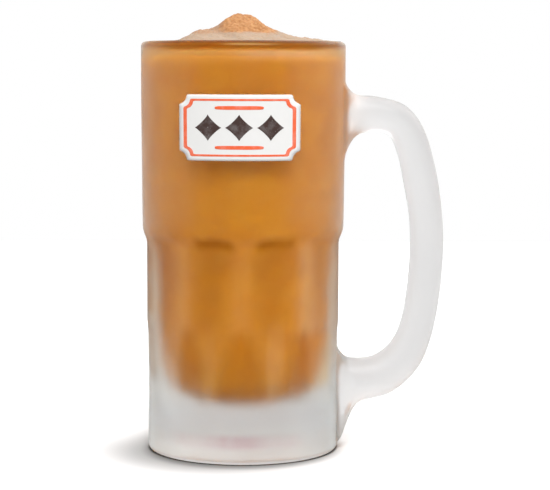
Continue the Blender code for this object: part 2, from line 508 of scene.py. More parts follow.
@dataclass(frozen=True)
class FrostedGlass:
    """Sand-frosted glass: clear inside, with a fine matt skin that blurs what is behind it.

    The mesh says what the skin lets through: its colour, which carries painted shade and painted
    light, and as alpha the share of the light that passes. The rest scatters as a white veil, which
    paints highlights. Heights, places and sizes are in millimetres.

    Attributes:
        reflection_tint: Colour of the painted reflection of the drink, a faint rosy band low in the base:
            a
        core and wings round a middle.
        body_reach: Places along x between which the body gives way to the handle.
        edge_shade_tint: Colour of the painted shade among the panels where the glass is seen nearly edge
            on.
        slant_tint: What the longer way through the glass does to light that passes aslant.
        low_rough: What the roughness gains in the thick lower part.
        sheen: Share of the white bloom that frost shows where it is seen aslant.
        gloss: Level of the surface's reflection; 0.5 is that of polished glass.
        lip_heights: Heights between which bloom and gloss end under the lip.
        rough_low: Roughness where the frost is thinnest; rough_high is where it is thickest.
        patch_mm: Size of the patches of thicker frost.
        grain_mm: Size of the frost's grain.
        cloud_tint: Colour of the faint clouds in the body's frost.
    """

    reflection_tint: Colour = (0.71, 0.52, 0.56)
    reflection_heights: Gate = (5.0, 9.0, 11.0, 15.0)
    reflection_middle: float = -2.0
    reflection_core: Span = (4.0, 16.0)
    reflection_wings: Span = (22.0, 32.0)
    reflection_shares: Span = (0.55, 0.45)
    reflection_patches: Span = (0.3, 0.55)
    body_reach: Span = (46.0, 49.0)
    edge_shade_tint: Colour = (0.34, 0.25, 0.18)
    edge_depth: float = 0.85
    edge_heights: Gate = (44.0, 60.0, 94.0, 101.5)
    edge_facing: Span = (0.45, 0.80)
    slant_tint: Colour = (0.94, 0.995, 1.0)
    slant_facing: Span = (0.10, 0.75)
    low_rough: float = 0.10
    low_heights: Gate = (14.0, 26.0, 35.0, 62.0)
    sheen: float = 0.10
    gloss: float = 0.45
    lip_heights: Span = (179.0, 180.2)
    rough_low: float = 0.36
    rough_high: float = 0.46
    patch_mm: float = 14.0
    grain_mm: float = 0.9
    grain_depth_mm: float = 0.02
    grain_strength: float = 0.35
    cloud_mm: float = 6.0
    cloud_tint: Colour = (0.60, 0.40, 0.20)
    cloud_depth: float = 0.09
    cloud_heights: Span = (25.0, 45.0)

    def reflection_band(self, shader: Shader, across: Socket, height: Socket, patches: Socket) -> Socket:
        """Share of the painted reflection of the drink, a rosy band: its heights times its core and
        wings, broken up by the patches.

        Args:
            shader: The material's writer.
            across: Places along x.
            height: Heights.
            patches: The frost's patches.

        Returns:
            The share.
        """
        off = shader.math("ABSOLUTE", shader.math("SUBTRACT", across, self.reflection_middle))
        core, wings = (shader.remap(off, *ends, share, 0.0, smooth=True) for ends, share
                       in zip((self.reflection_core, self.reflection_wings), self.reflection_shares))
        band = shader.between(height, self.reflection_heights)
        broken = shader.remap(patches, *self.reflection_patches, 0.5, 1.0)
        return shader.product(band, shader.math("ADD", core, wings), broken)

    def build(self) -> bpy.types.Material:
        """Makes the material.

        Returns:
            The material, ready for its piece.
        """
        material, shader = new_material("frosted_glass")
        place = shader.object_coordinates()
        across, height = shader.axis(place, "X"), shader.axis(place, "Z")
        body = shader.remap(across, *self.body_reach, 1.0, 0.0)
        patches = shader.noise(place, self.patch_mm, detail=3.0)
        clouds = shader.noise(place, self.cloud_mm, detail=4.0)
        clouds = shader.remap(clouds, *NOISE_CORE, 0.0, self.cloud_depth, smooth=True)
        facing = shader.node("ShaderNodeLayerWeight", Blend=0.5).outputs["Facing"]
        # painted shade where the glass among the panels is seen nearly edge on
        edge = shader.remap(facing, *self.edge_facing, 0.0, self.edge_depth)
        skin = shader.tree.nodes.new("ShaderNodeAttribute")
        skin.attribute_name = TINT
        # painted reflection of the drink low in the base, random clouds in the frost, and painted shade
        # where the glass is seen edge on
        layers = (
            (self.reflection_band(shader, across, height, patches), self.reflection_tint),
            (shader.product(clouds, body, shader.remap(height, *self.cloud_heights)), self.cloud_tint),
            (shader.product(body, shader.between(height, self.edge_heights), edge), self.edge_shade_tint),
        )
        glass = skin.outputs["Color"]
        for share, tint in layers:
            glass = shader.mix(share, glass, tint)
        slant = shader.product(body, shader.remap(facing, *self.slant_facing))
        glass = shader.scaled(glass, shader.mix(slant, (1.0, 1.0, 1.0), self.slant_tint))
        rough = shader.remap(patches, *NOISE_CORE, self.rough_low, self.rough_high, smooth=True)
        low = shader.between(height, self.low_heights)
        rough = shader.math("ADD", rough, shader.product(low, self.low_rough))
        under_lip = shader.remap(height, *self.lip_heights, 1.0, 0.0)
        grain = shader.noise(place, self.grain_mm)
        grain = shader.bump(grain, self.grain_depth_mm, self.grain_strength)
        # the alpha passes less light where the white veil paints highlights
        shader.finish(Base_Color=glass, Roughness=rough, IOR=1.5, Normal=grain,
                      Transmission_Weight=skin.outputs["Alpha"], Specular_Tint=glass,
                      Specular_IOR_Level=shader.product(under_lip, self.gloss), Sheen_Tint=glass,
                      Sheen_Roughness=0.5, Sheen_Weight=shader.product(under_lip, self.sheen))
        return material


@dataclass(frozen=True)
class ThickDrink:
    """Opaque milkshake against the glass, faintly mottled by air and ice cream.

    Attributes:
        deep: Colour of the richer streaks; creamy is that of the paler ones.
        speck: Colour of the small dark specks.
        top: Colour near its top, paler as painted light where the light comes in over the lip.
        mottle_mm: Size of the streaks.
    """

    deep: Colour = (0.79, 0.285, 0.0035)
    creamy: Colour = (0.90, 0.362, 0.010)
    speck: Colour = (0.68, 0.215, 0.003)
    speck_share: float = 0.5
    speck_range: Span = (0.62, 0.74)
    top: Colour = (1.0, 0.455, 0.06)
    top_heights: Span = (171.0, 177.0)
    mottle_mm: float = 9.0
    speck_mm: float = 1.6

    def build(self) -> bpy.types.Material:
        """Makes the material.

        Returns:
            The material, ready for its piece.
        """
        material, shader = new_material("milkshake")
        place = shader.object_coordinates()
        streaks = shader.remap(shader.noise(place, self.mottle_mm, detail=3.0), *NOISE_SPAN, smooth=True)
        specks = shader.remap(shader.noise(place, self.speck_mm, detail=1.0), *self.speck_range)
        # painted light: the drink is paler near its top, under the lip
        high = shader.remap(shader.axis(place, "Z"), *self.top_heights, smooth=True)
        body = shader.mix(high, shader.mix(streaks, self.deep, self.creamy), self.top)
        body = shader.mix(shader.product(specks, self.speck_share), body, self.speck)
        shader.finish(Base_Color=body, Roughness=0.5, IOR=1.34, Specular_IOR_Level=0.0)
        return material


@dataclass(frozen=True)
class FoamSkin:
    """Froth of fine bubbles: orange-tan on the mound, paler and drier in the skirt round it.

    Heights, distances and sizes are in millimetres.

    Attributes:
        crest: Colour of the mound; hollow is the darker colour of the creases between its bubbles,
            painted shade.
        drink: Colour of the wet froth against the glass, brightened as painted light under the lip; line
        is the dark line on it, painted shade under the lip's bead.
        flank: Colour of the mound's lower flanks, which end on the right.
        mound_weights: Weights of x, y and z in the distance that shapes the crown.
        mound_shift: What brings the crown's middle to the middle of the froth.
        mound_reach: Distances between which the crown gives way to its flanks.
        mound_heights: Heights between which the skirt gives way to the mound.
        wander_up: How far that border wanders, each way; wander_out is the crown's.
        wet_heights: Heights between which the wet froth ends.
        wet_radii: Radii between which it begins.
        bubble_edge: Distance from a bubble's middle to its edge, in cells of the pattern.
    """

    crest: Colour = (0.44, 0.225, 0.098)
    hollow: Colour = (0.29, 0.125, 0.043)
    skirt: Colour = (0.335, 0.24, 0.17)
    drink: Colour = (0.97, 0.50, 0.12)
    line: Colour = (0.66, 0.25, 0.012)
    flank: Colour = (0.325, 0.195, 0.118)
    flank_end: Span = (8.0, 16.0)
    mound_weights: Place = (1.0, 0.5, 0.0)
    mound_shift: Place = (-2.4, 0.0, 0.0)
    mound_reach: Span = (10.8, 14.04)
    mound_heights: Span = (185.4, 186.8)
    wander_mm: float = 7.0
    wander_up: float = 0.7
    wander_out: float = 1.5
    wet_heights: Span = (181.0, 181.6)
    wet_radii: Span = (40.4, 40.7)
    line_heights: Span = (179.0, 179.8)
    bubble_mm: float = 0.8
    bubble_depth_mm: float = 0.12
    bubble_strength: float = 0.6
    bubble_edge: float = 0.75
    crease_mm: float = 1.7
    crease_range: Span = (0.36, 0.62)

    def build(self) -> bpy.types.Material:
        """Makes the material.

        Returns:
            The material, ready for its piece.
        """
        material, shader = new_material("froth")
        place = shader.object_coordinates()
        height = shader.axis(place, "Z")
        wander = shader.noise(place, self.wander_mm)
        up, out = (shader.remap(wander, *NOISE_SPAN, -far, far)
                   for far in (self.wander_up, self.wander_out))
        border = shader.math("ADD", height, up)
        reach = shader.math("ADD", shader.distance(place, self.mound_shift, self.mound_weights), out)
        near = shader.remap(reach, *self.mound_reach, 1.0, 0.0, smooth=True)
        rise = shader.remap(border, *self.mound_heights, smooth=True)
        outer = shader.distance(place, weights=(1.0, 1.0, 0.0))
        wet = shader.product(shader.remap(height, *self.wet_heights, 1.0, 0.0),
                             shader.remap(outer, *self.wet_radii))
        cells = shader.node("ShaderNodeTexVoronoi", Vector=place, Scale=1.0 / (self.bubble_mm * MM))
        domes = shader.remap(cells.outputs["Distance"], 0.0, self.bubble_edge, 1.0, 0.0)
        creases = shader.noise(place, self.crease_mm, detail=4.0, roughness=0.65)
        creases = shader.remap(creases, *self.crease_range)
        left = shader.remap(shader.axis(place, "X"), *self.flank_end, 1.0, 0.0)
        # the creases between the bubbles are darker: painted shade
        mound = shader.mix(near, shader.mix(left, self.skirt, self.flank),
                           shader.mix(creases, self.hollow, self.crest))
        # wet froth against the glass, brightened as painted light, with a dark line of painted shade
        # under the lip's bead
        band = shader.mix(shader.remap(height, *self.line_heights), self.drink, self.line)
        colour = shader.mix(wet, shader.mix(rise, self.skirt, mound), band)
        shader.finish(Base_Color=colour, Roughness=0.6, IOR=1.34, Specular_IOR_Level=0.2,
                      Subsurface_Weight=0.25, Subsurface_Radius=(1.0, 0.55, 0.3), Subsurface_Scale=0.002,
                      Normal=shader.bump(domes, self.bubble_depth_mm, self.bubble_strength))
        return material


@dataclass(frozen=True)
class PrintedFilm:
    """Ink fired onto the glass: nearly even, a little worn, with tiny pinholes.

    Attributes:
        ink: Colour of the ink.
        worn: Share by which the worn patches pale; holed is that of the pinholes.
        bare: Level towards which they pale.
    """

    name: str
    ink: Colour
    worn: float = 0.10
    holed: float = 0.30
    bare: float = 0.8
    patch_range: Span = (0.45, 0.70)
    hole_range: Span = (0.70, 0.78)
    patch_mm: float = 3.0
    hole_mm: float = 0.5

    def build(self) -> bpy.types.Material:
        """Makes the material.

        Returns:
            The material, ready for its piece.
        """
        material, shader = new_material(self.name)
        place = shader.object_coordinates()
        pale, bare = (tuple(value + share * (self.bare - value) for value in self.ink)
                      for share in (self.worn, self.holed))
        patches = shader.remap(shader.noise(place, self.patch_mm, detail=3.0), *self.patch_range)
        holes = shader.remap(shader.noise(place, self.hole_mm, detail=1.0), *self.hole_range)
        body = shader.mix(holes, shader.mix(patches, self.ink, pale), bare)
        shader.finish(Base_Color=body, Roughness=0.42, IOR=1.5)
        return material


@dataclass
class Handle:
    """D handle: a rounded section over ribs, blended into the wall at both ends.

    Attributes:
        ribs: Ribs across the grip as (inner x, inner z, outer x, outer z, half depth along y).
        first_rib: Place along the ribs where the upper blend ends.
        last_rib: Place along the ribs where the lower blend begins.
        rib_step: Step along the ribs, each way, that gives the grip's direction at its ends.
        squareness: Exponent of the section; 2 is an ellipse and more is squarer.
        upper_root: Heights of the upper root's ends on the wall.
        lower_root: Heights of the lower root's ends, the tail included.
        half_columns: Half the root's width, in the body's columns.
        cells: Body rows that each root takes.
        blend_speed: Speed of the blend's curves, as a share of the distance they cross.
        tail_lean: How far the tail's curves lean out of the wall, up to tail_height.
        corner_power: Power that turns the blend's curves from a root's corners to its sides.
    """

    ribs: Tuple[Tuple[float, float, float, float, float], ...] = (
        (42.8, 128.5, 42.8, 165.5, 10.5),
        (45.8, 132.8, 45.9, 161.8, 10.0),
        (50.2, 140.6, 51.0, 159.1, 9.2),
        (57.5, 143.0, 60.0, 158.3, 8.7),
        (65.0, 141.2, 72.3, 154.4, 8.5),
        (69.2, 132.0, 80.6, 144.0, 8.5),
        (71.9, 119.5, 86.2, 125.5, 8.5),
        (74.3, 106.0, 89.1, 106.5, 8.5),
        (75.1, 90.0, 89.8, 89.0, 8.5),
        (73.7, 71.5, 88.3, 69.0, 8.5),
        (71.0, 57.0, 84.8, 50.3, 8.5),
        (66.0, 47.0, 78.8, 36.1, 8.6),
        (57.5, 41.2, 67.3, 25.4, 9.0),
        (47.5, 40.8, 53.5, 21.2, 9.6),
        (41.7, 43.8, 49.0, 17.0, 8.6),
    )
    first_rib: float = 2.0
    last_rib: float = 13.0
    rib_step: float = 0.4
    squareness: float = 2.4
    rings: int = 110
    blend_rings: int = 14
    upper_root: Span = (129.0, 165.5)
    lower_root: Span = (3.0, 47.5)
    half_columns: int = 10
    cells: int = 44
    blend_speed: float = 0.9
    tail_lean: float = 1.0
    tail_height: float = 16.0
    corner_power: int = 3

    def loop_cells(self) -> Tuple[np.ndarray, np.ndarray]:
        """Walks once round a root's edge, from its low corner on the +Y side.

        Returns:
            Column offsets from the middle and row offsets from the low end, one for each point.
        """
        across = np.arange(-self.half_columns, self.half_columns)
        up = np.arange(self.cells)
        low, high = np.zeros_like(across), np.full_like(across, self.cells)
        side = np.full_like(up, self.half_columns)
        columns = np.concatenate((side, -across, -side, across))
        rows = np.concatenate((up, high, self.cells - up, low))
        return columns, rows

    def turns(self) -> np.ndarray:
        """Angle round the section for each point of a root's edge: that of its square's point."""
        columns, rows = self.loop_cells()
        return np.unwrap(np.arctan2(2.0 * rows / self.cells - 1.0, columns / self.half_columns))

    def section(self, place: np.ndarray, turn: np.ndarray) -> np.ndarray:
        """Points of the grip's surface.

        Each section is a superellipse on a rib: the rib's middle, plus half the rib and half the
        depth times the sine and the cosine of the turn, both times the superellipse's reach.

        Args:
            place: Places along the ribs.
            turn: Angles round the section; a quarter turn is the grip's outer side.

        Returns:
            An array of places by turns by 3.
        """
        inner_x, inner_z, outer_x, outer_z, depth = spline_rows(np.array(self.ribs), place).T[:, :, None]
        reach = (np.abs(np.cos(turn)) ** self.squareness
                 + np.abs(np.sin(turn)) ** self.squareness) ** (-1.0 / self.squareness)
        across, out = reach * np.cos(turn), reach * np.sin(turn)
        x = 0.5 * (inner_x + outer_x) + 0.5 * (outer_x - inner_x) * out
        z = 0.5 * (inner_z + outer_z) + 0.5 * (outer_z - inner_z) * out
        return np.stack((x, depth * across, z), axis=-1)

    def leave_wall(self, wall: np.ndarray, upright: float) -> np.ndarray:
        """Directions in which the blend's curves leave the wall.

        Each runs in the wall towards the root's middle; at the tail's foot it also leans out.

        Args:
            wall: Points round the root's edge.
            upright: 1 where a quarter turn is the root's top, and -1 where it is its foot.

        Returns:
            Unit vectors.
        """
        turn = self.turns()
        radius = np.hypot(wall[:, 0], wall[:, 1])
        normal = np.stack((wall[:, 0] / radius, wall[:, 1] / radius, 0.0 * radius), axis=-1)
        side = np.stack((-normal[:, 1], normal[:, 0], 0.0 * radius), axis=-1)
        square = np.stack((np.cos(turn), np.sin(turn)), axis=-1)
        square = (square / np.abs(square).max(axis=1, keepdims=True)) ** self.corner_power
        lean = self.tail_lean * (1.0 - smooth_step(self.lower_root[0], self.tail_height, wall[:, 2]))
        away = (-square[:, :1] * side - upright * square[:, 1:] * np.array((0.0, 0.0, 1.0)))
        away /= np.linalg.norm(away, axis=1, keepdims=True)
        away += lean[:, None] * normal
        return away / np.linalg.norm(away, axis=1, keepdims=True)

    def blend(self, wall: np.ndarray, leave: np.ndarray, grip: np.ndarray,
              arrive: np.ndarray) -> np.ndarray:
        """Hermite curves from the wall to the grip, point by point.

        Args:
            wall: Points round the root's edge.
            leave: Unit directions in which the curves leave the wall.
            grip: Points of the grip's end ring.
            arrive: Unit directions in which they meet the grip.

        Returns:
            Rings between the two, without either end.
        """
        t = np.linspace(0.0, 1.0, self.blend_rings + 2)[1:-1, None, None]
        speed = self.blend_speed * np.linalg.norm(grip - wall, axis=1, keepdims=True)
        from_wall = 2.0 * t ** 3 - 3.0 * t ** 2 + 1.0
        return (from_wall * wall + (t ** 3 - 2.0 * t ** 2 + t) * speed * leave
                + (1.0 - from_wall) * grip + (t ** 3 - t ** 2) * speed * arrive)

    def rings_between(self, upper: np.ndarray, lower: np.ndarray) -> np.ndarray:
        """All the handle's rings, from the upper root to the lower one.

        Args:
            upper: Points round the upper root's edge, on the wall.
            lower: Points round the lower root's edge, on the wall.

        Returns:
            Rings by turns by 3, without the two edges.
        """
        turn = self.turns()
        place = np.linspace(self.first_rib, self.last_rib, self.rings)
        grip = self.section(place, turn)
        around = np.array((-self.rib_step, self.rib_step))
        first = self.section(self.first_rib + around, turn)
        last = self.section(self.last_rib + around, turn)
        start, end = first[1] - first[0], last[0] - last[1]
        start /= np.linalg.norm(start, axis=1, keepdims=True)
        end /= np.linalg.norm(end, axis=1, keepdims=True)
        top = self.blend(upper, self.leave_wall(upper, 1.0), grip[0], start)
        foot = self.blend(lower, self.leave_wall(lower, -1.0), grip[-1], end)
        return np.concatenate((top, grip, foot[::-1]))


@dataclass(frozen=True)
class Patch:
    """Soft-edged patch of the wall, by turn and height.

    A turn is the cosine of the angle from the handle: 1 at the handle, 0 at the front and the back,
    and -1 opposite the handle.

    Attributes:
        turns: Turns where the patch begins, is full, fades and ends.
        heights: The same for its heights.
        mirrored: Whether it lies alike on the handle's side and on the other.
        share: Its strength in the middle.
        lean: What its strength gains towards the handle.
    """

    turns: Gate
    heights: Gate
    mirrored: bool = False
    share: float = 1.0
    lean: float = 0.0

    def strength(self, turn: np.ndarray, z: np.ndarray) -> np.ndarray:
        """Returns the product of the two windows and the share, which leans with the turn."""
        across = np.abs(turn) if self.mirrored else turn
        return (self.share + self.lean * turn) * window(across, *self.turns) * window(z, *self.heights)


@dataclass(frozen=True)
class FrostAndShade:
    """Colour and white veil for each place of the mug's outer skin, with painted shade and painted light.

    Besides the frost's own tints, painted shade darkens the panels' relief: arches at their heads,
    hollows in the panels and domes at the ridges' feet, with clearer gaps between them and on top of
    the ledge as painted light. Warm tints paint the drink's light on the glass, and the white veil
    paints highlights. A name ending in frost or shade is a strength from 0, clear, to 1, full, of the
    frost with its painted shade, and one in veil a share of the light. A name in tint is a colour of
    the skin, one in turns a range of turns as in a Patch, and one in heights a range of heights. The
    lip's patches have depths under its top for heights.

    Attributes:
        panel_shift: Angle by which the arches and the side domes are turned towards the handle.
        dome: Heights of the domes' feet and tips.
        dome_reach: Half a dome's width at its foot.
        dome_powers: Powers that shape its outline: that of the height, then that of the whole.
        dome_blur: Distances from its outline, inside and out, between which it fades.
        dome_foot: Heights from its foot between which it comes in; dome_tip is where it ends.
        dome_narrowing: Share by which the side domes are narrower.
        dome_lift: How much higher the domes opposite the handle begin.
        dome_fading: Share by which the outermost domes are fainter.
        arch_rises: Height of an arch's ends over the ledge, and what it gains in the middle of the
            panel and, on the side panels, at its ends.
        arch_depth: Depth over which an arch fades.
        arch_width: Shares of the way into the panel between which it comes in.
        arch_fading: Share by which the outermost arches are fainter.
        hollow_end: Height over the ledge's foot by which the hollows' frost has gone.
        gap_ends: Heights from the domes' feet, and from their tips, of the clear gaps' ends; the gaps'
            brightness is painted light.
        ledge_highlight: Share by which the top of the ledge is clearer, a painted highlight.
        handle_gap: Angles from the handle's middle between which the frost begins.
        tail_gap: What that angle gains at the handle's tail.
        light_tints: Painted light: what the drink's light does to the skin in a patch.
        ridge_spreads: Spreads of the ridges' painted highlight, a white veil, and of their painted warm
            light.
        lip_drink_tint: Colour of the lip, a painted view of the drink shining through it, but for the
            painted
        shade of the darker ring under its bead and the painted highlight along its front.
        lip_ring: Depths of the lip's bead; the rest is the darker ring of painted shade.
        root_rings: Rings of the handle that the white veil at its root, a painted highlight, covers.
        highlight_veils: Patches of white veil that paint highlights and brighter light.
    """

    plain_frost_shade: float = 0.05
    arch_shade: float = 0.80
    hollow_shade: float = 0.24
    dome_shade: float = 0.55
    panel_shift: float = 0.035
    dome: Span = (28.0, 61.0)
    dome_reach: float = 11.3
    dome_powers: Span = (1.7, 0.8)
    dome_blur: Span = (-5.5, 5.0)
    dome_foot: Span = (-5.0, 4.0)
    dome_tip: Span = (-6.0, 3.0)
    dome_narrowing: float = 0.22
    narrow_turns: Span = (0.30, 0.55)
    shift_turns: Span = (0.30, 0.50)
    opposite_turns: Span = (0.20, 0.40)
    dome_lift: float = 5.0
    lift_turns: Span = (0.40, 0.60)
    dome_fading: float = 0.7
    faint_turns: Tuple[Gate, Gate] = ((-0.92, -0.84, -0.69, -0.56), (0.60, 0.74, *TO_END))
    arch_rises: Place = (0.4, 2.0, 2.2)
    arch_turns: Span = (0.32, 0.50)
    arch_depth: float = 2.6
    arch_width: Span = (0.02, 0.55)
    arch_fading: float = 0.8
    arch_faint_turns: Span = (0.50, 0.75)
    hollow_heights: Span = (46.0, 60.0)
    hollow_end: float = 5.0
    gap_ends: Gate = (-6.0, 0.0, -4.0, 6.0)
    ledge_highlight: float = 0.8
    ledge_middle: float = 0.5
    ledge_depth: float = 2.0
    base_fade: float = 8.0
    base_low_heights: Span = (8.0, 14.0)
    flank_fade: float = 8.0
    flank_turns: Span = (0.45, 0.80)
    warm_heights: Span = (44.0, 60.0)
    handle_gap: Span = (0.28, 0.36)
    tail_gap: float = 0.11
    ridge_turns: Span = (0.58, 0.645)
    ridge_spreads: Span = (0.08, 0.085)
    clear_tint: Colour = (0.965, 0.975, 0.965)
    handle_tint: Colour = (0.978, 0.97, 0.967)
    shade_tint: Colour = (0.29, 0.23, 0.19)
    dome_shade_tint: Colour = (0.42, 0.25, 0.13)
    # painted light: warm tints for the drink's light on the glass among the panels, on their flanks and
    # in the gaps
    warm_light_tint: Colour = (0.95, 0.89, 0.84)
    flank_light_tint: Colour = (0.98, 0.91, 0.76)
    base_tint: Colour = (0.945, 0.985, 0.965)
    base_side_tint: Colour = (0.94, 0.98, 1.0)
    base_low_tint: Colour = (0.99, 1.0, 1.0)
    # painted shade: the darker heel over the table
    heel_shade_tint: Colour = (0.84, 0.82, 0.81)
    gap_light_tint: Colour = (1.0, 1.0, 0.80)
    dome_gap: Patch = Patch((0.20, 0.29, 0.38, 0.48), GAP_HEIGHTS, mirrored=True)
    light_tints: Tuple[Tuple[Colour, Patch], ...] = (
        # painted light of the drink, low on the right and down the left edge under the ledge
        ((1.0, 0.79, 0.52), Patch((0.54, 0.68, 0.86, 0.95), (28.0, 36.0, 52.0, 60.0))),
        ((0.72, 0.52, 0.36), Patch((*FROM_START, -0.94, -0.88), (60.0, 66.0, 86.0, 98.0))),
    )
    # painted: the drink as seen through the lip, the shade of the ring under its bead, its highlight and
    # the light under it
    lip_drink_tint: Colour = (0.95, 0.73, 0.21)
    ring_shade_tint: Colour = (0.56, 0.385, 0.17)
    highlight_streak_tint: Colour = (1.0, 0.80, 0.38)
    rim_light_tint: Colour = (1.0, 0.985, 0.95)
    lip: Patch = Patch((*FROM_START, 0.62, 0.92), (*FROM_START, 3.4, 4.5), mirrored=True)
    lip_ring: Gate = (0.9, 1.4, 1.9, 2.5)
    rim_light_band: Patch = Patch((-0.90, -0.40, 0.75, 0.95), (3.0, 4.5, 6.0, 8.0))
    lip_corner_highlights: Patch = Patch((0.90, 0.98, *TO_END), (*FROM_START, 2.0, 5.0), mirrored=True, share=0.15)
    highlight_streak_turns: Gate = (-0.25, -0.03, 0.21, 0.43)
    highlight_streak_depth: float = 1.78
    highlight_streak_spread: float = 0.25
    highlight_streak_veil: float = 0.20
    # painted highlight on the ridges beside the front panels, stronger towards the handle
    ridge_highlight_veil: float = 0.064
    ridge_lean: float = 0.032
    heel_front_highlight_veil: float = 0.03
    heel_front_heights: Span = (7.0, 11.0)
    root_highlight_veil: float = 0.25
    root_rings: Gate = (4.0, 10.0, 12.0, 22.0)
    highlight_veils: Tuple[Patch, ...] = (
        # the ridge at the front, the side panels and the edge of the one on the right
        Patch((*FROM_START, 0.05, 0.15), PANEL_HEIGHTS, mirrored=True, share=0.012),
        Patch((0.78, 0.84, 0.87, 0.92), SIDE_HEIGHTS, mirrored=True, share=0.08, lean=-0.06),
        Patch((0.66, 0.72, 0.80, 0.86), SIDE_HEIGHTS, share=0.035),
        # between the domes, and beside them to the right and the left
        Patch((0.22, 0.29, 0.38, 0.46), GAP_HEIGHTS, mirrored=True, share=0.03, lean=0.03),
        Patch((0.70, 0.90, *TO_END), (14.0, 22.0, 34.0, 52.0), share=0.0864),
        Patch((-0.88, -0.80, -0.70, -0.60), (14.0, 22.0, 36.0, 50.0), share=0.092),
        # the base: its sides, its right half and its edges
        Patch((0.40, 0.60, *TO_END), BASE_HEIGHTS, mirrored=True, share=0.03),
        Patch((0.30, 0.60, *TO_END), BASE_HEIGHTS, share=0.06),
        Patch((0.87, 0.93, *TO_END), BASE_HEIGHTS, mirrored=True, share=0.11),
        # just over the heel, the wall over the ledge, and the front just under the rim
        Patch((*FROM_START, *TO_END), (1.8, 2.4, 3.6, 5.0), share=0.12),
        Patch((0.35, 0.55, 0.90, 0.97), (100.0, 110.0, 172.0, 176.0), mirrored=True, share=0.015),
        Patch((-0.15, 0.20, 0.60, 0.95), (174.0, 176.0, 177.6, 179.0), share=0.06),
    )

    def stripe(self, turn: np.ndarray, z: np.ndarray, spread: float) -> np.ndarray:
        """Strength of the ridges' painted highlight and warm light beside the front panels: bells over
        the turn, within their heights.
        """
        middle = np.where(turn > 0.0, self.ridge_turns[1], self.ridge_turns[0])
        return bell(np.abs(turn), middle, spread) * window(z, *PANEL_HEIGHTS)

    def domes(self, mug: "Mug", angle: np.ndarray, z: np.ndarray) -> np.ndarray:
        """Strength of the painted shade of the domes at the ridges' feet.

        A dome's half width is its reach times a power of 1 less a power of the climb. The domes
        at the sides are turned towards the handle and narrower, those opposite it begin higher,
        and the outermost are fainter.

        Args:
            mug: The mug whose ridges they stand on.
            angle: Angles round the axis.
            z: Heights.

        Returns:
            Numbers from 0 to 1.
        """
        turn = np.cos(angle)
        side = np.abs(turn)
        low, high = self.dome
        climb = np.clip((z - low) / (high - low), 0.0, 1.0)
        reach = self.dome_reach * (1.0 - climb ** self.dome_powers[0]) ** self.dome_powers[1]
        reach = reach * (1.0 - self.dome_narrowing * smooth_step(*self.narrow_turns, side))
        opposite = smooth_step(*self.opposite_turns, -turn)
        shift = self.panel_shift * smooth_step(*self.shift_turns, side) * (1.0 + opposite)
        outline = 1.0 - smooth_step(*self.dome_blur, mug.from_ridge(angle - shift) - reach)
        lift = self.dome_lift * smooth_step(*self.lift_turns, -turn)
        foot = smooth_step(*self.dome_foot, z - low - lift)
        faint = sum(window(turn, *gate) for gate in self.faint_turns)
        tip = 1.0 - smooth_step(*self.dome_tip, z - high)
        return outline * foot * tip * (1.0 - self.dome_fading * faint)

    def arches(self, mug: "Mug", angle: np.ndarray, z: np.ndarray) -> np.ndarray:
        """Strength of the painted shade of the arches at the panels' heads: bells over a height that
        bends with the panel.

        Args:
            mug: The mug whose panels they close.
            angle: Angles round the axis.
            z: Heights.

        Returns:
            Numbers from 0 to 1.
        """
        side = np.abs(np.cos(angle))
        into = mug.into_panel(angle - self.panel_shift)
        ends, crown, side_ends = self.arch_rises
        side_ends = side_ends * smooth_step(*self.arch_turns, side)
        middle = mug.ledge[0] + ends + crown * into + side_ends * (1.0 - into)
        faint = self.arch_fading * smooth_step(*self.arch_faint_turns, side)
        return bell(z, middle, self.arch_depth) * smooth_step(*self.arch_width, into) * (1.0 - faint)

    def shade_strength(self, mug: "Mug", angle: np.ndarray, z: np.ndarray, dome: np.ndarray) -> np.ndarray:
        """Frost and painted shade: faint on the plain wall, strong in arches, hollows and domes.

        Between the domes and on top of the ledge the skin is clearest, which paints light there.

        Args:
            mug: The mug that carries it.
            angle: Angles round the axis.
            z: Heights.
            dome: Strength of the domes.

        Returns:
            Numbers from 0 to 1.
        """
        low, high = self.dome
        over_ledge = bell(z, mug.ledge[1] + self.ledge_middle, self.ledge_depth)
        gap = window(z, *np.add(self.gap_ends, (low, low, high, high)))
        # the clear gaps between the domes and on top of the ledge are painted light
        clear = np.maximum((1.0 - dome) * gap, self.ledge_highlight * over_ledge)
        hollow_end = (mug.ledge[0], mug.ledge[0] + self.hollow_end)
        hollow = mug.into_panel(angle) * window(z, *self.hollow_heights, *hollow_end)
        plain = (1.0 - clear) * smooth_step(low - self.base_fade, low, z)
        frost = (self.plain_frost_shade * plain + self.dome_shade * dome + self.hollow_shade * hollow
                 + self.arch_shade * self.arches(mug, angle, z))
        return np.clip(frost, 0.0, 1.0)

    def wall_skin(self, mug: "Mug", angle: np.ndarray, z: np.ndarray) -> np.ndarray:
        """Colour that the outer skin gives to what shines through it.

        Painted shade darkens an arch at each panel's head, the hollow of the panel and a dome at each
        ridge's foot. Among the panels the drink stands nearest, and its light is painted on the glass
        as warm tints, on the flanks and in the gaps too. The base is cooler. Beside the handle the skin
        is plain. Each tint multiplies the skin by 1 less its share of what the tint lacks of white. The
        alpha is 1 less the white veil that paints highlights.

        Args:
            mug: The mug that it covers.
            angle: Angles round the axis.
            z: Heights.

        Returns:
            Colours with their alpha, one for each angle and height.
        """
        turn = np.cos(angle)
        low, high = self.dome
        away = np.abs(np.mod(angle + math.pi, TAU) - math.pi)
        tail = self.tail_gap * window(z, *BASE_HEIGHTS)
        beside = smooth_step(*self.handle_gap, away + tail)
        dome, aslant = self.domes(mug, angle, z), smooth_step(*self.flank_turns, np.abs(turn))
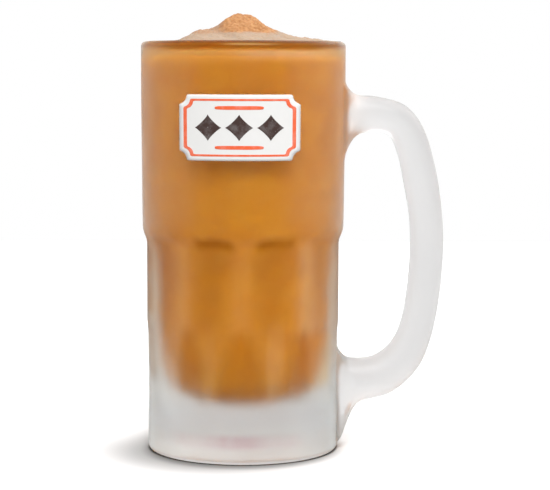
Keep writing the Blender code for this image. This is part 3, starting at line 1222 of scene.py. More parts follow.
        # frost is the thin frost with the painted shade of the arches, hollows and domes
        frost = (self.shade_strength(mug, angle, z, dome) * beside)[..., None]
        thick = mixed(self.shade_tint, self.dome_shade_tint, dome)
        skin = (1.0 - frost) * np.array(self.clear_tint) + frost * thick
        # painted warm light of the drink among the panels, on the flanks, in the gaps and in the
        # light_tints patches
        warm = mug.into_panel(angle) * window(z, *self.warm_heights, *mug.ledge) * beside
        flank = aslant * window(z, high - self.flank_fade, high + self.flank_fade, *mug.ledge) * beside
        gap = self.dome_gap.strength(turn, z) + self.stripe(turn, z, self.ridge_spreads[1])
        tints = [(self.warm_light_tint, warm), (self.gap_light_tint, gap), (self.flank_light_tint, flank)]
        tints += [(tint, patch.strength(turn, z)) for tint, patch in self.light_tints]
        for tint, share in tints:
            skin = skin * (1.0 - share[..., None] * (1.0 - np.array(tint)))
        cool = mixed(self.base_tint, self.base_side_tint, aslant)
        near_foot = 1.0 - smooth_step(*self.base_low_heights, z)
        cool = mixed(cool, self.base_low_tint, (1.0 - aslant) * near_foot)
        skin = mixed(skin, cool, (1.0 - smooth_step(low - self.base_fade, low, z)) * beside)
        # alpha: 1 less the white veil that paints highlights
        return np.concatenate((skin, 1.0 - (self.veil(turn, z) * beside)[..., None]), axis=-1)

    def veil(self, turn: np.ndarray, z: np.ndarray) -> np.ndarray:
        """Share of the light that the outer skin scatters as a white veil, which paints highlights:
        the sum of its patches.

        Args:
            turn: Turns of the places.
            z: Their heights.

        Returns:
            Shares from 0 to 1.
        """
        ridges = (self.ridge_highlight_veil + self.ridge_lean * turn) * self.stripe(turn, z, self.ridge_spreads[0])
        heel_front = (1.0 - np.abs(turn)) * (1.0 - smooth_step(*self.heel_front_heights, z))
        patches = sum(patch.strength(turn, z) for patch in self.highlight_veils)
        return ridges + self.heel_front_highlight_veil * heel_front + patches

    def with_lip(self, skin: np.ndarray, turn: np.ndarray, depth: np.ndarray) -> np.ndarray:
        """Paints onto the lip the drink's colour as seen through it, most at its front and back.

        A darker ring of painted shade lies just under the bead, and a thin painted highlight along the
        front of it. At the two sides the lip is pale, a painted highlight. Under it lies a clear band of
        painted light.

        Args:
            skin: Colours with their alpha.
            turn: Turns of the places.
            depth: Their depths under the lip's top.

        Returns:
            The new colours with their alpha.
        """
        # painted highlight along the lip's front, painted shade in the ring under the bead, and painted
        # light in the clear band under the lip
        streak = bell(depth, self.highlight_streak_depth, self.highlight_streak_spread) * window(turn, *self.highlight_streak_turns)
        colour = mixed(self.lip_drink_tint, self.ring_shade_tint, 1.0 - window(depth, *self.lip_ring))
        colour = mixed(colour, self.highlight_streak_tint, streak)
        below = mixed(skin[..., :3], self.rim_light_tint, self.rim_light_band.strength(turn, depth))
        tinted = mixed(below, colour, self.lip.strength(turn, depth))
        passing = skin[..., 3] - self.highlight_streak_veil * streak - self.lip_corner_highlights.strength(turn, depth)
        return np.concatenate((tinted, passing[..., None]), axis=-1)

    def handle_skin(self, rings: int, turns: int) -> np.ndarray:
        """The handle's skin: even, but for a whiter veil beside the upper root, a painted highlight.

        Args:
            rings: Number of rings, from the upper root on.
            turns: Points round each.

        Returns:
            A colour and alpha for each point, ring by ring.
        """
        skin = np.tile((*self.handle_tint, 1.0), (rings, turns, 1))
        skin[..., 3] -= self.root_highlight_veil * window(np.arange(rings), *self.root_rings)[:, None]
        return skin.reshape(-1, 4)


@dataclass
class Mug:
    """Pressed glass mug: turned body, ten panels, deep bowl and a handle that grows out of the wall.

    Names in rows are numbers of grid rows.

    Attributes:
        heel_radius: Rounding where the foot meets the table.
        punt_radius: Radius of the shallow hollow under the foot.
        punt_step: Distances from there between which the hollow ends.
        punt_row_gap: Distance to the first row of that step.
        taper: Heights between which the ridges widen from the foot.
        ridge_foot_radius: Radius of the ridges at their lower ends.
        shoulder_height: Height just over the panels.
        belly_height: Height of the widest ring.
        lip_bead: Half the lip's thickness.
        ring_rounding: Height over which the turned wall's corners are rounded, each way.
        panel_foot_radius: Radius of a panel's middle at its foot.
        panel_step: Heights between which that becomes the panel's own.
        panel_end: Heights between which the panels come out of the round base.
        panel_end_rise: How far they are moved out there, which leaves the base round.
        ledge: Heights between which the ledge over a panel rises.
        ledge_fade: Height over the ledge by which the wall is plain.
        ridge_softness: Rounding where the panels cut the turned wall.
        ridge_rounding: Rounding of the ridges between two panels.
        bowl_height: Height where the straight taper inside meets the bowl.
        floor_height: Height of the bowl's lowest point.
        bowl_fullness: Exponent of the bowl's curve; 2 is an ellipse and more is squarer.
        columns: Steps round the axis.
        tail_pinch: Share by which the columns beside the tail's foot are drawn together.
        pinch_reach: Distance over which they are, in halves of the tail's width.
    """

    handle: Handle = field(default_factory=Handle)
    height: float = 182.5
    base_radius: float = 42.7
    heel_radius: float = 2.2
    punt_radius: float = 36.0
    punt_depth: float = 0.8
    punt_step: Span = (-4.0, 1.0)
    punt_row_gap: float = 1.0
    taper: Span = (37.0, 57.0)
    ridge_foot_radius: float = 44.8
    shoulder_height: float = 104.0
    shoulder_radius: float = 45.1
    belly_height: float = 158.0
    belly_radius: float = 45.55
    lip_radius: float = 45.5
    lip_bead: float = 2.15
    ring_rounding: float = 1.6
    ring_samples: int = 7
    panels: int = 10
    panel_foot_radius: float = 42.3
    panel_radius: float = 42.75
    panel_step: Span = (53.0, 60.0)
    panel_end: Span = (12.0, 24.0)
    panel_end_rise: float = 1.2
    ledge: Span = (94.0, 101.5)
    ledge_rise: float = 2.6
    ledge_fade: float = 6.0
    ridge_softness: float = 0.3
    ridge_rounding: float = 1.4
    bowl_height: float = 74.0
    bowl_radius: float = 28.3
    floor_height: float = 22.8
    bowl_fullness: float = 3.5
    columns: int = 240
    punt_rows: int = 9
    foot_rows: int = 8
    heel_rows: int = 7
    wall_rows: int = 61
    top_rows: int = 12
    lip_rows: int = 19
    cavity_rows: int = 46
    bowl_rows: int = 30
    tail_pinch: float = 0.38
    pinch_reach: float = 4.0
    # frost: the skin's own tints, with painted shade and painted light
    frost: FrostAndShade = field(default_factory=FrostAndShade)

    @property
    def lip_height(self) -> float:
        """Height of the lip bead's middle."""
        return self.height - self.lip_bead

    def plain_radius(self, z: np.ndarray) -> np.ndarray:
        """Radius of the turned wall: straight between its named rings, averaged to round them.

        Args:
            z: Heights.

        Returns:
            The radii.
        """
        heights = (*self.taper, self.shoulder_height, self.belly_height, self.lip_height)
        radii = (self.base_radius, self.ridge_foot_radius, self.shoulder_radius, self.belly_radius,
                 self.lip_radius)
        shifts = np.linspace(-self.ring_rounding, self.ring_rounding, self.ring_samples)
        return np.mean([np.interp(z + shift, heights, radii) for shift in shifts], axis=0)

    def panel_surface(self, angle: np.ndarray, z: np.ndarray) -> np.ndarray:
        """Radius that the panels alone would have.

        A flat panel's radius is its middle's over the cosine of the angle from there. Where two
        panels meet, their soft minimum rounds the ridge.

        Args:
            angle: Angles round the axis.
            z: Heights.

        Returns:
            The radii.
        """
        off, pitch = self.off_middle(angle), TAU / self.panels
        middle = (self.panel_foot_radius
                  + (self.panel_radius - self.panel_foot_radius) * smooth_step(*self.panel_step, z)
                  + self.panel_end_rise * (1.0 - smooth_step(*self.panel_end, z))
                  + self.ledge_rise * smooth_step(*self.ledge, z))
        return soft_minimum(middle / np.cos(off), middle / np.cos(pitch - off), self.ridge_rounding)

    def wall_radius(self, angle: np.ndarray, z: np.ndarray) -> np.ndarray:
        """Outer radius at an angle and a height.

        The wall is the soft minimum of the panels' surface and the turned wall. Over the ledge the
        panels have left the wall, and it is plain.

        Args:
            angle: Angles round the axis, in radians.
            z: Heights.

        Returns:
            The radii.
        """
        plain = self.plain_radius(z)
        pressed = soft_minimum(plain, self.panel_surface(angle, z), self.ridge_softness)
        over = smooth_step(self.ledge[1], self.ledge[1] + self.ledge_fade, z)
        return pressed + (plain - pressed) * over

    def cavity_radius(self, z: np.ndarray) -> np.ndarray:
        """Inner radius of the straight taper over the bowl.

        Args:
            z: Heights.

        Returns:
            The radii.
        """
        mouth = self.lip_radius - 2.0 * self.lip_bead
        rise = (z - self.bowl_height) / (self.lip_height - self.bowl_height)
        return self.bowl_radius + (mouth - self.bowl_radius) * rise

    def bowl_curve(self, rows: int, proud: float = 0.0) -> Tuple[np.ndarray, np.ndarray]:
        """Bowl from the axis out to the foot of the straight taper.

        The curve is a superellipse: radius and depth are powers of a sine and a cosine.

        Args:
            rows: Number of points.
            proud: How far the curve stands out into the glass.

        Returns:
            Radii and heights.
        """
        turn = np.linspace(0.0, 0.5 * math.pi, rows)
        power = 2.0 / self.bowl_fullness
        drop = (self.bowl_height - self.floor_height + proud) * np.clip(np.cos(turn), 0.0, 1.0) ** power
        return (self.bowl_radius + proud) * np.sin(turn) ** power, self.bowl_height - drop

    def grid_angles(self, z: np.ndarray) -> np.ndarray:
        """Angles of the columns: even steps, drawn together beside the handle's tail.

        Args:
            z: Heights of the rows, as a column.

        Returns:
            Rows by columns of angles.
        """
        even = np.arange(self.columns) * TAU / self.columns
        away = np.mod(even + math.pi, TAU) - math.pi
        edge = self.handle.half_columns * TAU / self.columns
        near = 1.0 - smooth_step(edge, self.pinch_reach * edge, np.abs(away))
        low = 1.0 - smooth_step(self.handle.tail_height / 2.0, self.handle.lower_root[1], z)
        return even - self.tail_pinch * low * near * away

    def outer_heights(self) -> Tuple[np.ndarray, int, int]:
        """Heights of the outer wall's rows from the heel to the lip.

        Returns:
            The heights, and the numbers of the rows where the lower and the upper root begin.
        """
        lower, upper, cells = self.handle.lower_root, self.handle.upper_root, self.handle.cells
        parts = ([self.heel_radius], np.linspace(*lower, cells + 1),
                 np.linspace(lower[1], upper[0], self.wall_rows)[1:-1], np.linspace(*upper, cells + 1),
                 np.linspace(upper[1], self.lip_height, self.top_rows)[1:])
        return np.concatenate(parts), 1, cells + self.wall_rows

    def surface(self) -> Surface:
        """Works out the whole glass as one closed surface.

        Rows run from the middle of the foot out, over the heel, up the wall, over the lip, down
        the cavity and along the bowl to its lowest point. The cells inside the handle's two roots
        are left out, and the handle's rings join their edges.

        Returns:
            The surface.
        """
        foot_radii, foot_heights = self.foot_profile()
        wall_heights, lower_row, upper_row = self.outer_heights()
        quarter = np.linspace(0.0, 0.5 * math.pi, self.heel_rows)[1:-1]
        heel_heights = self.heel_radius * (1.0 - np.cos(quarter))
        outer = np.concatenate((foot_heights, heel_heights, wall_heights))
        angle = self.grid_angles(outer[:, None])
        foot, before = len(foot_radii), len(foot_radii) + len(quarter)
        heel = self.wall_radius(angle[foot:before], self.heel_radius)
        heel = heel - self.heel_radius * (1.0 - np.sin(quarter))[:, None]
        wall = self.wall_radius(angle[before:], wall_heights[:, None])
        inner_radii, inner_heights = self.inner_profile()
        inside = np.broadcast_to(inner_radii[:, None], (len(inner_radii), self.columns))
        even = np.broadcast_to(np.arange(self.columns) * TAU / self.columns, inside.shape)
        under = np.broadcast_to(foot_radii[:, None], (foot, self.columns))
        radius = np.vstack((under, heel, wall, inside))
        skin = np.ones((*radius.shape, 4)) * (*self.frost.clear_tint, 1.0)
        skin[:foot] = (*self.frost.base_tint, 1.0)
        # the heel is darker: painted shade where the mug meets the table
        skin[foot:before] = (*self.frost.heel_shade_tint, 1.0)
        skin[before:len(outer)] = self.frost.wall_skin(self, angle[before:], wall_heights[:, None])
        angle, heights = np.vstack((angle, even)), np.concatenate((outer, inner_heights))[:, None]
        skin = self.frost.with_lip(skin, np.cos(angle), self.height - heights)
        points = round_axis(radius, angle, heights)
        return self.join_handle(points, skin, before + lower_row, before + upper_row)

    def foot_profile(self) -> Tuple[np.ndarray, np.ndarray]:
        """Underside from the axis out to the heel: a shallow hollow that ends in a smooth step.

        Returns:
            Radii and heights.
        """
        inner, outer = (self.punt_radius + shift for shift in self.punt_step)
        edge = self.base_radius - self.heel_radius
        radii = np.concatenate((np.linspace(0.0, inner, self.punt_rows),
                                np.linspace(inner + self.punt_row_gap, edge, self.foot_rows)))
        return radii, self.punt_depth * (1.0 - smooth_step(inner, outer, radii))

    def inner_profile(self) -> Tuple[np.ndarray, np.ndarray]:
        """Profile from the lip's outer side over its bead, down the cavity and along the bowl.

        The bead is half a circle: its radius is drawn in by 1 less a cosine, and its height rises
        by a sine.

        Returns:
            Radii and heights.
        """
        over = np.linspace(0.0, math.pi, self.lip_rows)[1:]
        lip_radii = self.lip_radius - self.lip_bead * (1.0 - np.cos(over))
        lip_heights = self.lip_height + self.lip_bead * np.sin(over)
        down = np.linspace(self.lip_height, self.bowl_height, self.cavity_rows)[1:]
        bowl_radii, bowl_heights = self.bowl_curve(self.bowl_rows)
        return (np.concatenate((lip_radii, self.cavity_radius(down), bowl_radii[-2::-1])),
                np.concatenate((lip_heights, down, bowl_heights[-2::-1])))

    def into_panel(self, angle: np.ndarray) -> np.ndarray:
        """Share of the way from a ridge, 0, to the middle of a panel, 1, along a cosine."""
        return 0.5 - 0.5 * np.cos(self.panels * (angle + 0.5 * math.pi))

    def off_middle(self, angle: np.ndarray) -> np.ndarray:
        """Angle from the middle of the nearest panel."""
        pitch = TAU / self.panels
        return np.abs(np.mod(angle + 0.5 * math.pi, pitch) - 0.5 * pitch)

    def from_ridge(self, angle: np.ndarray) -> np.ndarray:
        """Distance round the wall from the nearest ridge, in millimetres."""
        return self.ridge_foot_radius * (0.5 * TAU / self.panels - self.off_middle(angle))

    def join_handle(self, points: np.ndarray, skin: np.ndarray, lower_row: int,
                    upper_row: int) -> Surface:
        """Opens the two roots in the body's grid and stitches the handle's rings to them.

        Args:
            points: The body's grid points.
            skin: The skin's colour and alpha at each of them.
            lower_row: Row where the lower root begins.
            upper_row: Row where the upper root begins.

        Returns:
            The joined surface, without the points inside the roots.
        """
        rows, columns = points.shape[:2]
        cells, half = self.handle.cells, self.handle.half_columns
        plain = (*self.frost.clear_tint, 1.0)
        kept = np.ones((rows - 1, columns), dtype=bool)
        inside = np.arange(-half, half) % columns
        for row in (lower_row, upper_row):
            kept[row:row + cells, inside] = False
        body = close_poles(points, kept)
        offsets, steps = self.handle.loop_cells()
        upper_edge = (upper_row + steps - 1) * columns + offsets % columns
        lower_edge = (lower_row + cells - steps - 1) * columns + offsets % columns
        rings = self.handle.rings_between(body.points[upper_edge], body.points[lower_edge])
        numbers = len(body.points) + np.arange(rings.shape[0] * rings.shape[1])
        ids = np.vstack((upper_edge, numbers.reshape(rings.shape[:2]), lower_edge))
        joined = Surface(np.vstack((body.points, rings.reshape(-1, 3))),
                         np.vstack((body.quads, strip_faces(ids, wrap=True).reshape(-1, 4))),
                         body.triangles,
                         np.vstack((skin[1:-1].reshape(-1, 4), np.tile(plain, (2, 1)),
                                    self.frost.handle_skin(*rings.shape[:2]))))
        return joined.pruned()

    def build(self, finish: bpy.types.Material) -> bpy.types.Object:
        """Makes the glass in its finish."""
        return self.surface().to_object("mug_glass", finish)


@dataclass
class Milkshake:
    """The drink: it fills the cavity and reaches just into the glass, so that no air shows.

    Attributes:
        mug: The mug that holds it.
        level: Height of its top, under the froth.
        proud: How far it reaches into the glass.
    """

    mug: Mug
    level: float = 176.0
    proud: float = 0.2
    columns: int = 160
    bowl_rows: int = 40
    side_rows: int = 60
    top_rows: int = 8

    def build(self, finish: bpy.types.Material) -> bpy.types.Object:
        """Makes the drink in its finish.

        Args:
            finish: Its material.

        Returns:
            The piece.
        """
        bowl_radii, bowl_heights = self.mug.bowl_curve(self.bowl_rows, self.proud)
        side = np.linspace(self.mug.bowl_height, self.level, self.side_rows)[1:]
        top = np.linspace(1.0, 0.0, self.top_rows)[1:] * (self.mug.cavity_radius(side[-1]) + self.proud)
        radii = np.concatenate((bowl_radii, self.mug.cavity_radius(side) + self.proud, top))
        heights = np.concatenate((bowl_heights, side, np.full(len(top), self.level)))
        return close_poles(turned(radii, heights, self.columns)).to_object("milkshake_fill", finish)


@dataclass
class Froth:
    """Froth over the rim: a tilted level with mounds on it, and bubbles all over.

    Attributes:
        mug: The mug whose lip it meets.
        low: Height of its underside, just in the drink.
        edge_height: Height of its edge, on average.
        tilt: Rise of the edge from the middle to the handle's side.
        mounds: Mounds as (rise, centre x, centre y, spread along x, spread along y).
        ripples: Ripples as (height, waves per millimetre along x, along y, phase).
        bubbles: Bubble sizes as (spacing, height).
        bubble_middle: Share of a bubble's height that lies under the froth's level.
        bubble_reach: A bubble's radius as a share of the spacing.
        bubble_scatter: Shares of the spacing between which a bubble's place is drawn.
        crumple: Height of the fine unevenness.
        crumbs: Sizes of its finer and coarser grain.
        flat_power: Power of the radius by which the relief dies away towards the edge.
        proud: How far the edge reaches into the glass.
    """

    mug: Mug
    low: float = 175.9
    edge_height: float = 181.2
    tilt: float = 1.0
    mounds: Tuple[Tuple[float, float, float, float, float], ...] = (
        (5.8, -1.4, 0.0, 20.4, 17.0),
        (5.7, 3.9, -1.0, 6.4, 8.0),
        (5.3, -5.6, -1.0, 4.55, 7.0),
        (2.8, -18.8, -3.0, 4.2, 9.0),
    )
    ripples: Tuple[Tuple[float, float, float, float], ...] = (
        (0.35, 0.071, 0.043, 0.4),
        (0.28, -0.052, 0.097, 2.1),
        (0.22, 0.118, 0.064, 4.4),
    )
    bubbles: Tuple[Span, ...] = ((3.4, 0.45), (1.5, 0.32))
    bubble_middle: float = 0.6
    bubble_reach: float = 0.9
    crumple: float = 0.25
    crumbs: Span = (0.9, 2.1)
    flat_power: int = 4
    proud: float = 0.15
    rings: int = 150
    side_rows: int = 8
    under_rings: int = 6
    columns: int = 320
    bubble_scatter: Span = (0.1, 0.9)
    bubble_seed: int = 7
    crumb_seed: int = 12

    def edge_radius(self, z: np.ndarray) -> np.ndarray:
        """Radius at which the froth meets the glass: the taper, then the inside of the lip bead.

        Args:
            z: Heights.

        Returns:
            The radii.
        """
        rise = np.clip(z - self.mug.lip_height, 0.0, self.mug.lip_bead)
        bead = self.mug.lip_radius - self.mug.lip_bead - np.sqrt(self.mug.lip_bead ** 2 - rise ** 2)
        return np.where(z > self.mug.lip_height, bead, self.mug.cavity_radius(z)) + self.proud

    def bubble_field(self, x: np.ndarray, y: np.ndarray, spacing: float, seed: int) -> np.ndarray:
        """Domes round scattered points: 1 at a point, falling with the square of the distance.

        Args:
            x: Places along x.
            y: Places along y.
            spacing: Mean distance between neighbouring points.
            seed: Seed of the points' places.

        Returns:
            Numbers from 0 to 1.
        """
        reach = self.mug.lip_radius
        cells = int(2.0 * reach / spacing) + 3
        jitter = np.random.default_rng(seed).uniform(*self.bubble_scatter, (cells, cells, 2))
        column, row = (np.floor((value + reach) / spacing).astype(int) for value in (x, y))
        nearest = np.full(x.shape, np.inf)
        for across in (-1, 0, 1):
            for up in (-1, 0, 1):
                i, j = np.clip(column + across, 0, cells - 1), np.clip(row + up, 0, cells - 1)
                point = (np.stack((i, j), axis=-1) + jitter[i, j]) * spacing - reach
                nearest = np.minimum(nearest, np.hypot(x - point[..., 0], y - point[..., 1]))
        return np.clip(1.0 - (nearest / (self.bubble_reach * spacing)) ** 2, 0.0, 1.0)

    def surface_height(self, x: np.ndarray, y: np.ndarray) -> np.ndarray:
        """Height of the froth.

        The sum of a tilted level, bell-shaped mounds, sine ripples and, away from the edge,
        bubble domes and fine noise.

        Args:
            x: Places along x.
            y: Places along y.

        Returns:
            The heights.
        """
        height = self.edge_height + self.tilt * x / self.mug.lip_radius
        for rise, centre_x, centre_y, spread_x, spread_y in self.mounds:
            height = height + rise * np.exp(-0.5 * (((x - centre_x) / spread_x) ** 2
                                                    + ((y - centre_y) / spread_y) ** 2))
        outward = np.hypot(x, y) / self.mug.cavity_radius(self.mug.lip_height)
        inside = np.clip(1.0 - outward ** self.flat_power, 0.0, 1.0)
        for size, along_x, along_y, phase in self.ripples:
            height = height + size * inside * np.sin(TAU * (along_x * x + along_y * y) + phase)
        for number, (spacing, size) in enumerate(self.bubbles):
            domes = self.bubble_field(x, y, spacing, self.bubble_seed + number)
            height = height + size * inside * (domes - self.bubble_middle)
        fine = sum(lattice_noise(x / size, y / size, self.crumb_seed + number)
                   for number, size in enumerate(self.crumbs))
        return height + 0.5 * self.crumple * inside * fine

    def build(self, finish: bpy.types.Material) -> bpy.types.Object:
        """Makes the froth in its finish.

        Args:
            finish: Its material.

        Returns:
            The piece.
        """
        angle = np.arange(self.columns) * TAU / self.columns
        rim = self.mug.cavity_radius(self.mug.lip_height)
        edge = self.edge_radius(self.surface_height(rim * np.cos(angle), rim * np.sin(angle)))
        share = np.linspace(1.0, 0.0, self.rings)[:, None]
        x, y = share * edge * np.cos(angle), share * edge * np.sin(angle)
        top = np.stack((x, y, self.surface_height(x, y)), axis=-1)
        rise = np.linspace(0.0, 1.0, self.side_rows)[:-1, None]
        side_z = self.low + rise * (top[0, :, 2] - self.low)
        side_r = np.minimum(self.edge_radius(side_z), edge)
        side = round_axis(side_r, angle, side_z)
        under = np.linspace(0.0, 1.0, self.under_rings)[:-1, None, None] * side[:1]
        under[..., 2] = self.low
        return close_poles(np.concatenate((under, side, top))).to_object("froth_mound", finish)


class Outline(Enum):
    """Outlines of the flat printed shapes on the wall."""

    TICKET = "rectangle whose corners are scooped out"
    DIAMOND = "four points with slightly hollow sides"
    BAR = "long bar with rounded ends"

    def reach(self, turn: np.ndarray, half_width: float, half_height: float) -> np.ndarray:
        """Distance from the shape's middle to its outline.

        A diamond and a bar are superellipses of a low and a high exponent. A ticket is a
        rectangle, or where it comes first, the near side of a circle round its corner.

        Args:
            turn: Directions from the middle, in radians.
            half_width: Half the shape's width.
            half_height: Half its height.

        Returns:
            The distances.
        """
        across, up = np.abs(np.cos(turn)), np.abs(np.sin(turn))
        if self is not Outline.TICKET:
            power = DIAMOND_POWER if self is Outline.DIAMOND else BAR_POWER
            return ((across / half_width) ** power + (up / half_height) ** power) ** (-1.0 / power)
        flat = 1.0 / np.maximum(across / half_width, up / half_height)
        scoop = SCOOP * half_height
        along = half_width * across + half_height * up
        inside = along ** 2 - half_width ** 2 - half_height ** 2 + scoop ** 2
        return np.where(inside > 0.0, np.minimum(flat, along - np.sqrt(np.maximum(inside, 0.0))), flat)


@dataclass(frozen=True)
class Print:
    """One colour of the print on the wall: a thin raised film in one or more places.

    Attributes:
        half_width: Half its width round the wall.
        centres: Middles of the places as (distance round the wall, height).
        faces: Heights of the film's two faces over the glass.
        open_inside: Share of the size that is left open, as in a frame.
    """

    name: str
    outline: Outline
    half_width: float
    half_height: float
    centres: Sequence[Span]
    faces: Span
    open_inside: float = 0.0
    columns: int = 240
    steps: int = 14

    def patch(self, mug: Mug, centre: Span) -> Surface:
        """Works out the film in one place.

        A point is the middle plus a share of the outline's reach, laid round the wall: its angle
        is the distance round the wall over the wall's radius. The grid runs out along the lower
        face and back along the upper one.

        Args:
            mug: The mug whose wall it lies on.
            centre: The place's middle.

        Returns:
            The closed film.
        """
        turn = np.arange(self.columns) * TAU / self.columns
        reach = self.outline.reach(turn, self.half_width, self.half_height)
        share = np.linspace(self.open_inside, 1.0, self.steps)
        share = np.concatenate((share, share[::-1]))[:, None]
        face = np.repeat(self.faces, self.steps)[:, None]
        z = centre[1] + share * reach * np.sin(turn)
        angle = (centre[0] + share * reach * np.cos(turn)) / mug.belly_radius - 0.5 * math.pi
        radius = mug.wall_radius(angle, z) + face
        points = round_axis(radius, angle, z)
        if not self.open_inside:
            return close_poles(points)
        ids = np.arange(points.shape[0] * self.columns).reshape(-1, self.columns)
        faces = strip_faces(np.vstack((ids, ids[:1])), wrap=True)
        return Surface(points.reshape(-1, 3), faces.reshape(-1, 4))

    def build(self, mug: Mug, finish: bpy.types.Material) -> bpy.types.Object:
        """Makes the film in all its places, in its finish.

        Args:
            mug: The mug whose wall it lies on.
            finish: Its material.

        Returns:
            The piece.
        """
        whole = self.patch(mug, self.centres[0])
        for centre in self.centres[1:]:
            whole = whole.beside(self.patch(mug, centre))
        return whole.to_object(self.name, finish)


@dataclass
class Badge:
    """Printed badge on the front of the wall: a plain ticket with a frame, diamonds and bars.

    Attributes:
        mug: The mug that carries it.
        centre: Middle as (distance round the wall from the front, height).
        frame_size: Width, height and open inside of the frame, as shares of the ticket.
        diamond_size: Half a diamond's width and height; the bars' size is given in the same way.
        ticket_faces: Heights of the ticket's two faces over the glass.
        ink_faces: The same of what is printed on it.
    """

    mug: Mug
    centre: Span = (-1.0, 145.6)
    half_width: float = 27.5
    half_height: float = 14.0
    frame_size: Place = (0.92, 0.87, 0.93)
    diamond_size: Span = (6.0, 5.6)
    diamond_step: float = 13.6
    bar_size: Span = (10.5, 0.8)
    bar_rise: float = 8.4
    ticket_faces: Span = (-0.03, 0.06)
    ink_faces: Span = (0.03, 0.10)
    paper: Colour = (0.72, 0.715, 0.70)
    warm: Colour = (0.78, 0.115, 0.035)
    dark: Colour = (0.045, 0.022, 0.018)

    def build(self) -> List[bpy.types.Object]:
        """Makes the badge's films, each in its own colour.

        Returns:
            The pieces.
        """
        across, height = self.centre
        width_share, height_share, open_share = self.frame_size
        frame = (width_share * self.half_width, height_share * self.half_height)
        diamonds = [(across + step * self.diamond_step, height) for step in (-1, 0, 1)]
        bars = [(across, height + side * self.bar_rise) for side in (-1, 1)]
        prints = (
            (Print("badge_ticket", Outline.TICKET, self.half_width, self.half_height, [self.centre],
                   self.ticket_faces), PrintedFilm("badge_paper", self.paper)),
            (Print("badge_frame", Outline.TICKET, *frame, [self.centre], self.ink_faces, open_share),
             PrintedFilm("badge_warm", self.warm)),
            (Print("badge_diamonds", Outline.DIAMOND, *self.diamond_size, diamonds, self.ink_faces),
             PrintedFilm("badge_dark", self.dark)),
            (Print("badge_bars", Outline.BAR, *self.bar_size, bars, self.ink_faces),
             PrintedFilm("badge_bar", self.warm)),
        )
        return [shape.build(self.mug, finish.build()) for shape, finish in prints]


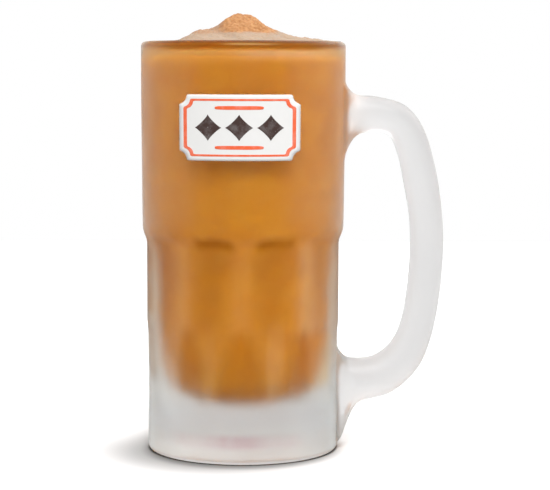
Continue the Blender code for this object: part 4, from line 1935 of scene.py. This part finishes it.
@dataclass
class Studio:
    """Plain white studio: a pale floor, a bright backdrop, soft lights and the camera.

    Places and distances are in millimetres. A shift brings something's middle to the floor's.

    Attributes:
        camera_tilt: How far it looks down, in degrees; camera_roll is its lean to the right.
        focal_px: Focal length in the photograph's pixels, of which it is image_width wide.
        back_level: Brightness of the surround behind the mug; front_level is that before it.
        turn_range: Range of the direction's Y between the two.
        lights: Soft lights as (name, place, side, power in watts).
        near_colour: Colour of the floor under the shadow, then farther off and out in the white.
        contact_shadow: Brightness of the painted contact shadow right under the mug's edge.
        front: Brightness of the painted shadow at the front of the mug's foot.
        front_bounce: Colour of the floor before the mug for the light that it throws back, and
            behind it.
    """

    camera_place: Place = (14.07, -815.8, 169.1)
    camera_tilt: float = 5.42
    camera_roll: float = -0.18
    focal_px: float = 1822.0
    image_width: float = 550.0
    sensor: float = 36.0
    clip: Span = (50.0, 50000.0)
    back_level: float = 0.88
    front_level: float = 0.05
    turn_range: Span = (-0.95, -0.45)
    lights: Tuple[Tuple[str, Place, float, float], ...] = (
        ("key", (20.0, -1050.0, 1050.0), 600.0, 18.3),
        ("overhead", (400.0, 100.0, 1000.0), 1500.0, 10.0),
    )
    light_aim: Place = (0.0, 0.0, 90.0)
    floor_half: float = 1000.0
    floor_cells: int = 8
    near_colour: Colour = (0.34, 0.34, 0.34)
    far_colour: Colour = (0.84, 0.84, 0.84)
    out_colour: Colour = (0.97, 0.97, 0.97)
    cloud: float = 0.02
    cloud_mm: float = 120.0
    shadow_shift: Place = (9.0, 8.5, 0.0)
    shadow_reach: Span = (28.0, 68.0)
    out_reach: Span = (250.0, 600.0)
    contact_shadow: float = 0.25
    touch_reach: Span = (42.0, 43.4)
    front: float = 0.56
    front_shift: Place = (0.0, 6.0, 0.0)
    front_reach: Span = (38.5, 47.0)
    front_bounce: Colour = (0.20, 0.20, 0.20)
    back_bounce: Colour = (0.48, 0.48, 0.48)
    bounce_range: Span = (-350.0, -50.0)

    def make_camera(self) -> None:
        """Sets up the camera at the photograph's viewing angle."""
        data = bpy.data.cameras.new("camera")
        data.sensor_width = self.sensor
        data.lens = self.focal_px * self.sensor / self.image_width
        data.clip_start, data.clip_end = (value * MM for value in self.clip)
        camera = bpy.data.objects.new("camera", data)
        camera.location = [value * MM for value in self.camera_place]
        tilt, roll = math.radians(90.0 - self.camera_tilt), math.radians(self.camera_roll)
        camera.rotation_euler = (tilt, roll, 0.0)
        bpy.context.scene.collection.objects.link(camera)
        bpy.context.scene.camera = camera

    def make_world(self) -> None:
        """Surrounds the mug with white that is dimmer in front of it."""
        world = bpy.data.worlds.new("surround")
        world.use_nodes = True
        bpy.context.scene.world = world
        shader = Shader(world.node_tree)
        direction = shader.node("ShaderNodeTexCoord").outputs["Generated"]
        depth = shader.node("ShaderNodeSeparateXYZ", Vector=direction).outputs["Y"]
        level = shader.remap(depth, *self.turn_range, self.front_level, self.back_level, smooth=True)
        white = (1.0, 1.0, 1.0)
        lit, seen = (shader.node("ShaderNodeBackground", Color=white, Strength=strength).outputs[0]
                     for strength in (level, 1.0))
        seen_now = shader.node("ShaderNodeLightPath").outputs["Is Camera Ray"]
        choice = shader.node("ShaderNodeMixShader", Fac=seen_now)
        shader.set(choice.inputs[1], lit)
        shader.set(choice.inputs[2], seen)
        shader.node("ShaderNodeOutputWorld", Surface=choice.outputs[0])

    def make_light(self, name: str, place: Place, size: float, power: float) -> None:
        """Adds one square soft light.

        Args:
            name: Its name.
            place: Its place.
            size: Its side.
            power: Its power, in watts.
        """
        data = bpy.data.lights.new(name, "AREA")
        data.shape, data.size, data.energy = "SQUARE", size * MM, power
        light = bpy.data.objects.new(name, data)
        light.location = [value * MM for value in place]
        direction = light.location.copy()
        for axis, value in enumerate(self.light_aim):
            direction[axis] -= value * MM
        light.rotation_euler = direction.to_track_quat("Z", "Y").to_euler()
        bpy.context.scene.collection.objects.link(light)

    def floor_colour(self, shader: Shader, place: Socket) -> Socket:
        """Colour of the floor: a soft shadow round the mug and a dark line where it stands.

        Args:
            shader: The floor's writer.
            place: The floor's places.

        Returns:
            The colour's socket.
        """
        away = shader.distance(place)
        cloud = shader.remap(shader.noise(place, self.cloud_mm), *NOISE_SPAN, -self.cloud, self.cloud)
        share = shader.math("ADD", cloud, shader.remap(
            shader.distance(place, self.shadow_shift), *self.shadow_reach, smooth=True))
        pale = shader.mix(share, self.near_colour, self.far_colour)
        pale = shader.mix(shader.remap(away, *self.out_reach), pale, self.out_colour)
        contact_shadow = shader.remap(away, *self.touch_reach, self.contact_shadow, 1.0, smooth=True)
        # painted shadow at the front of the mug's foot
        front = shader.remap(shader.distance(place, self.front_shift), *self.front_reach, self.front, 1.0,
                             smooth=True)
        return shader.mix(shader.product(contact_shadow, front), (0.0, 0.0, 0.0), pale)

    def make_floor(self) -> bpy.types.Object:
        """Lays the floor; the light that it throws back is dimmer than it looks.

        Returns:
            The floor.
        """
        material, shader = new_material("floor")
        place = shader.object_coordinates()
        behind = shader.remap(shader.axis(place, "Y"), *self.bounce_range, smooth=True)
        bounce = shader.mix(behind, self.front_bounce, self.back_bounce)
        seen = shader.node("ShaderNodeLightPath").outputs["Is Camera Ray"]
        colour = shader.mix(seen, bounce, self.floor_colour(shader, place))
        shader.finish(Base_Color=colour, Roughness=0.9, Specular_IOR_Level=0.1)
        line = np.linspace(-self.floor_half, self.floor_half, self.floor_cells + 1)
        x, y = np.meshgrid(line, line)
        points = np.stack((x, y, np.zeros_like(x)), axis=-1).reshape(-1, 3)
        ids = np.arange(line.size ** 2).reshape(line.size, line.size)
        return Surface(points, strip_faces(ids, wrap=False).reshape(-1, 4)).to_object("floor", material)

    def build(self) -> bpy.types.Object:
        """Makes the camera, the surround, the lights and the floor.

        Returns:
            The floor.
        """
        self.make_camera()
        self.make_world()
        for light in self.lights:
            self.make_light(*light)
        bpy.context.scene.view_settings.view_transform = "Standard"
        return self.make_floor()


def main() -> None:
    """Builds the mug, the drink, the froth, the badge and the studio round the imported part."""
    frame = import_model()
    LOG.info("the packed part has %d nodes", len(frame["nodes"]))
    mug = Mug()
    dressed: Tuple[Tuple[bpy.types.Object, str, str], ...] = (
        (mug.build(FrostedGlass().build()), "glass_mug", "frosted_glass"),
        (Milkshake(mug).build(ThickDrink().build()), "milkshake", "milkshake"),
        (Froth(mug).build(FoamSkin().build()), "froth", "froth"),
    )
    for piece, node, slot in dressed:
        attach(piece, "root")
        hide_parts(node)
        LOG.info("%s stands for %s with %d faces", piece.name, node, len(piece.data.polygons))
    for piece in Badge(mug).build():
        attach(piece, "root")
        LOG.info("%s has %d faces", piece.name, len(piece.data.polygons))
    Studio().build()


if __name__ == "__main__":
    logging.basicConfig(level=logging.INFO)
    main()
